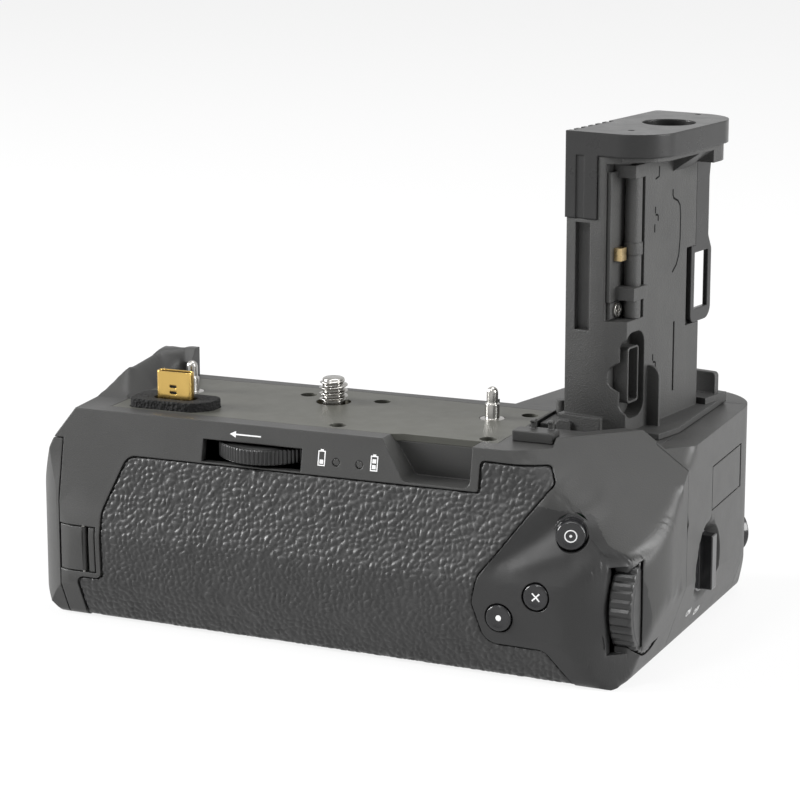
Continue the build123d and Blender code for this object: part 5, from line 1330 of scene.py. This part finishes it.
@dataclass
class Studio:
    """Camera at the photograph's place, white floor and soft lamps."""

    eye: Triple = (0.26176, -0.57324, 0.14232)
    azimuth: float = 23.2
    elevation: float = 12.7
    lens: float = 130.5
    sensor: float = 36.0
    aim: Triple = (0.01, 0.0, 0.0)
    floor_size: float = 6.0
    floor_gap: float = 0.0001
    floor_glow: float = 0.86
    world_light: float = 0.05
    lamps: tuple[tuple[Triple, float, float], ...] = (
        ((1.15, 0.1, 0.4), 0.7, 19.0),
        ((-1.1, -0.35, 0.45), 0.5, 26.0),
        ((0.1, 0.25, 1.3), 0.9, 8.0),
        ((-0.3, -0.9, 1.25), 0.35, 8.0),
    )

    def build(self) -> None:
        """Makes the camera, the floor, the lamps and the world."""
        self.camera()
        self.floor()
        for place, size, power in self.lamps:
            self.lamp(place, size, power)
        self.world()
        bpy.context.scene.view_settings.view_transform = "Standard"

    def camera(self) -> None:
        """Sets the camera's place, turn and lens."""
        data = bpy.data.cameras.new("camera")
        data.lens = self.lens
        data.sensor_width = self.sensor
        turn = (math.radians(90.0 - self.elevation), 0.0, math.radians(self.azimuth))
        bpy.context.scene.camera = put("camera", data, self.eye, turn)

    def floor(self) -> None:
        """White floor under the grip that keeps its shadow."""
        low = CAD_BOX[0][2] - self.floor_gap
        half = self.floor_size / 2
        points = np.array([(-half, -half, low), (half, -half, low), (half, half, low), (-half, half, low)])
        mesh = bpy.data.meshes.new("floor")
        mesh.from_pydata(points.tolist(), [], [(0, 1, 2, 3)])
        floor = put("floor", mesh)
        graph = Graph(bpy.data.materials.new("floor_paper"))
        paper = graph.add("ShaderNodeBsdfDiffuse")
        graph.join(graph.blend(graph.noise(0.3), (0.86, 0.86, 0.86), (0.9, 0.9, 0.9)), paper.inputs["Color"])
        share = graph.add("ShaderNodeMath", operation="MULTIPLY")
        share.inputs[1].default_value = self.floor_glow
        graph.join(graph.seen(), share.inputs[0])
        graph.show(share.outputs[0], paper, graph.add("ShaderNodeEmission"))
        mesh.materials.append(graph.owner)

    def lamp(self, place: Triple, size: float, power: float) -> None:
        """Square soft lamp that faces the grip.

        Args:
            place: its middle.
            size: edge length in metres.
            power: watts.
        """
        data = bpy.data.lights.new("lamp", "AREA")
        data.size = size
        data.energy = power
        aim = np.array(self.aim) - np.array(place)
        tilt = math.atan2(math.hypot(aim[0], aim[1]), -aim[2])
        put("lamp", data, place, (tilt, 0.0, math.atan2(-aim[0], aim[1])))

    def world(self) -> None:
        """White seen by the camera and in reflections, softer as light."""
        world = bpy.data.worlds.new("world")
        bpy.context.scene.world = world
        graph = Graph(world)
        plain = graph.add("ShaderNodeBackground")
        plain.inputs["Strength"].default_value = self.world_light
        graph.show(graph.seen(), plain, graph.add("ShaderNodeBackground"))


def sub_assemblies() -> list:
    """Every sub-assembly of the grip with its sizes."""
    return [
        SculptedShell("rear_shell", thumb=True), SculptedShell("front_shell"),
        SculptedShell("hand_end_cover", cover=True, fine_from=70.0, fine_to=18.0, gate=(-10.0, -4.0)),
        RubberSkin(), SmallParts(), CameraScrew(), LocatingPins(),
        RibbedWheel("lock_wheel", (-6.0, -20.6458, -6.3), (0, 0, 1), 11.0, 3.6, 72, 0.25, Look.WHEEL, 6, 0.28,
                    edge=0.35, gear=True),
        RibbedWheel("rear_dial", (79.0, -22.2, -30.7), (1, 0, 0), 11.0, 5.2, 34, 0.5, Look.WHEEL, crest=0.95,
                    edge=0.7),
        RibbedWheel("front_dial", (63.0, 48.5, -26.0), (0, 0, 1), 8.0, 5.6, 26, 0.5, Look.WHEEL, crest=0.95,
                    edge=0.7),
        ThumbButton("focus_button", (67.8, -31.6, -15.5), 16.0, 3.1, "ring"),
        ThumbButton("lock_button", (62.0, -35.5, -28.2), 0.0, 2.8, "cross"),
        ThumbButton("point_button", (53.8, -35.5, -33.6), 0.0, 2.85, "dot"),
        BandMarks(), SwitchWords(), TowerLines(),
    ]


def main() -> None:
    """Builds every sub-assembly in order and reports each one."""
    logging.basicConfig(level=logging.INFO, format="%(message)s")
    Studio().build()
    for part in sub_assemblies():
        part.build()
        log.info("built %s", type(part).__name__)


if __name__ == "__main__":
    main()
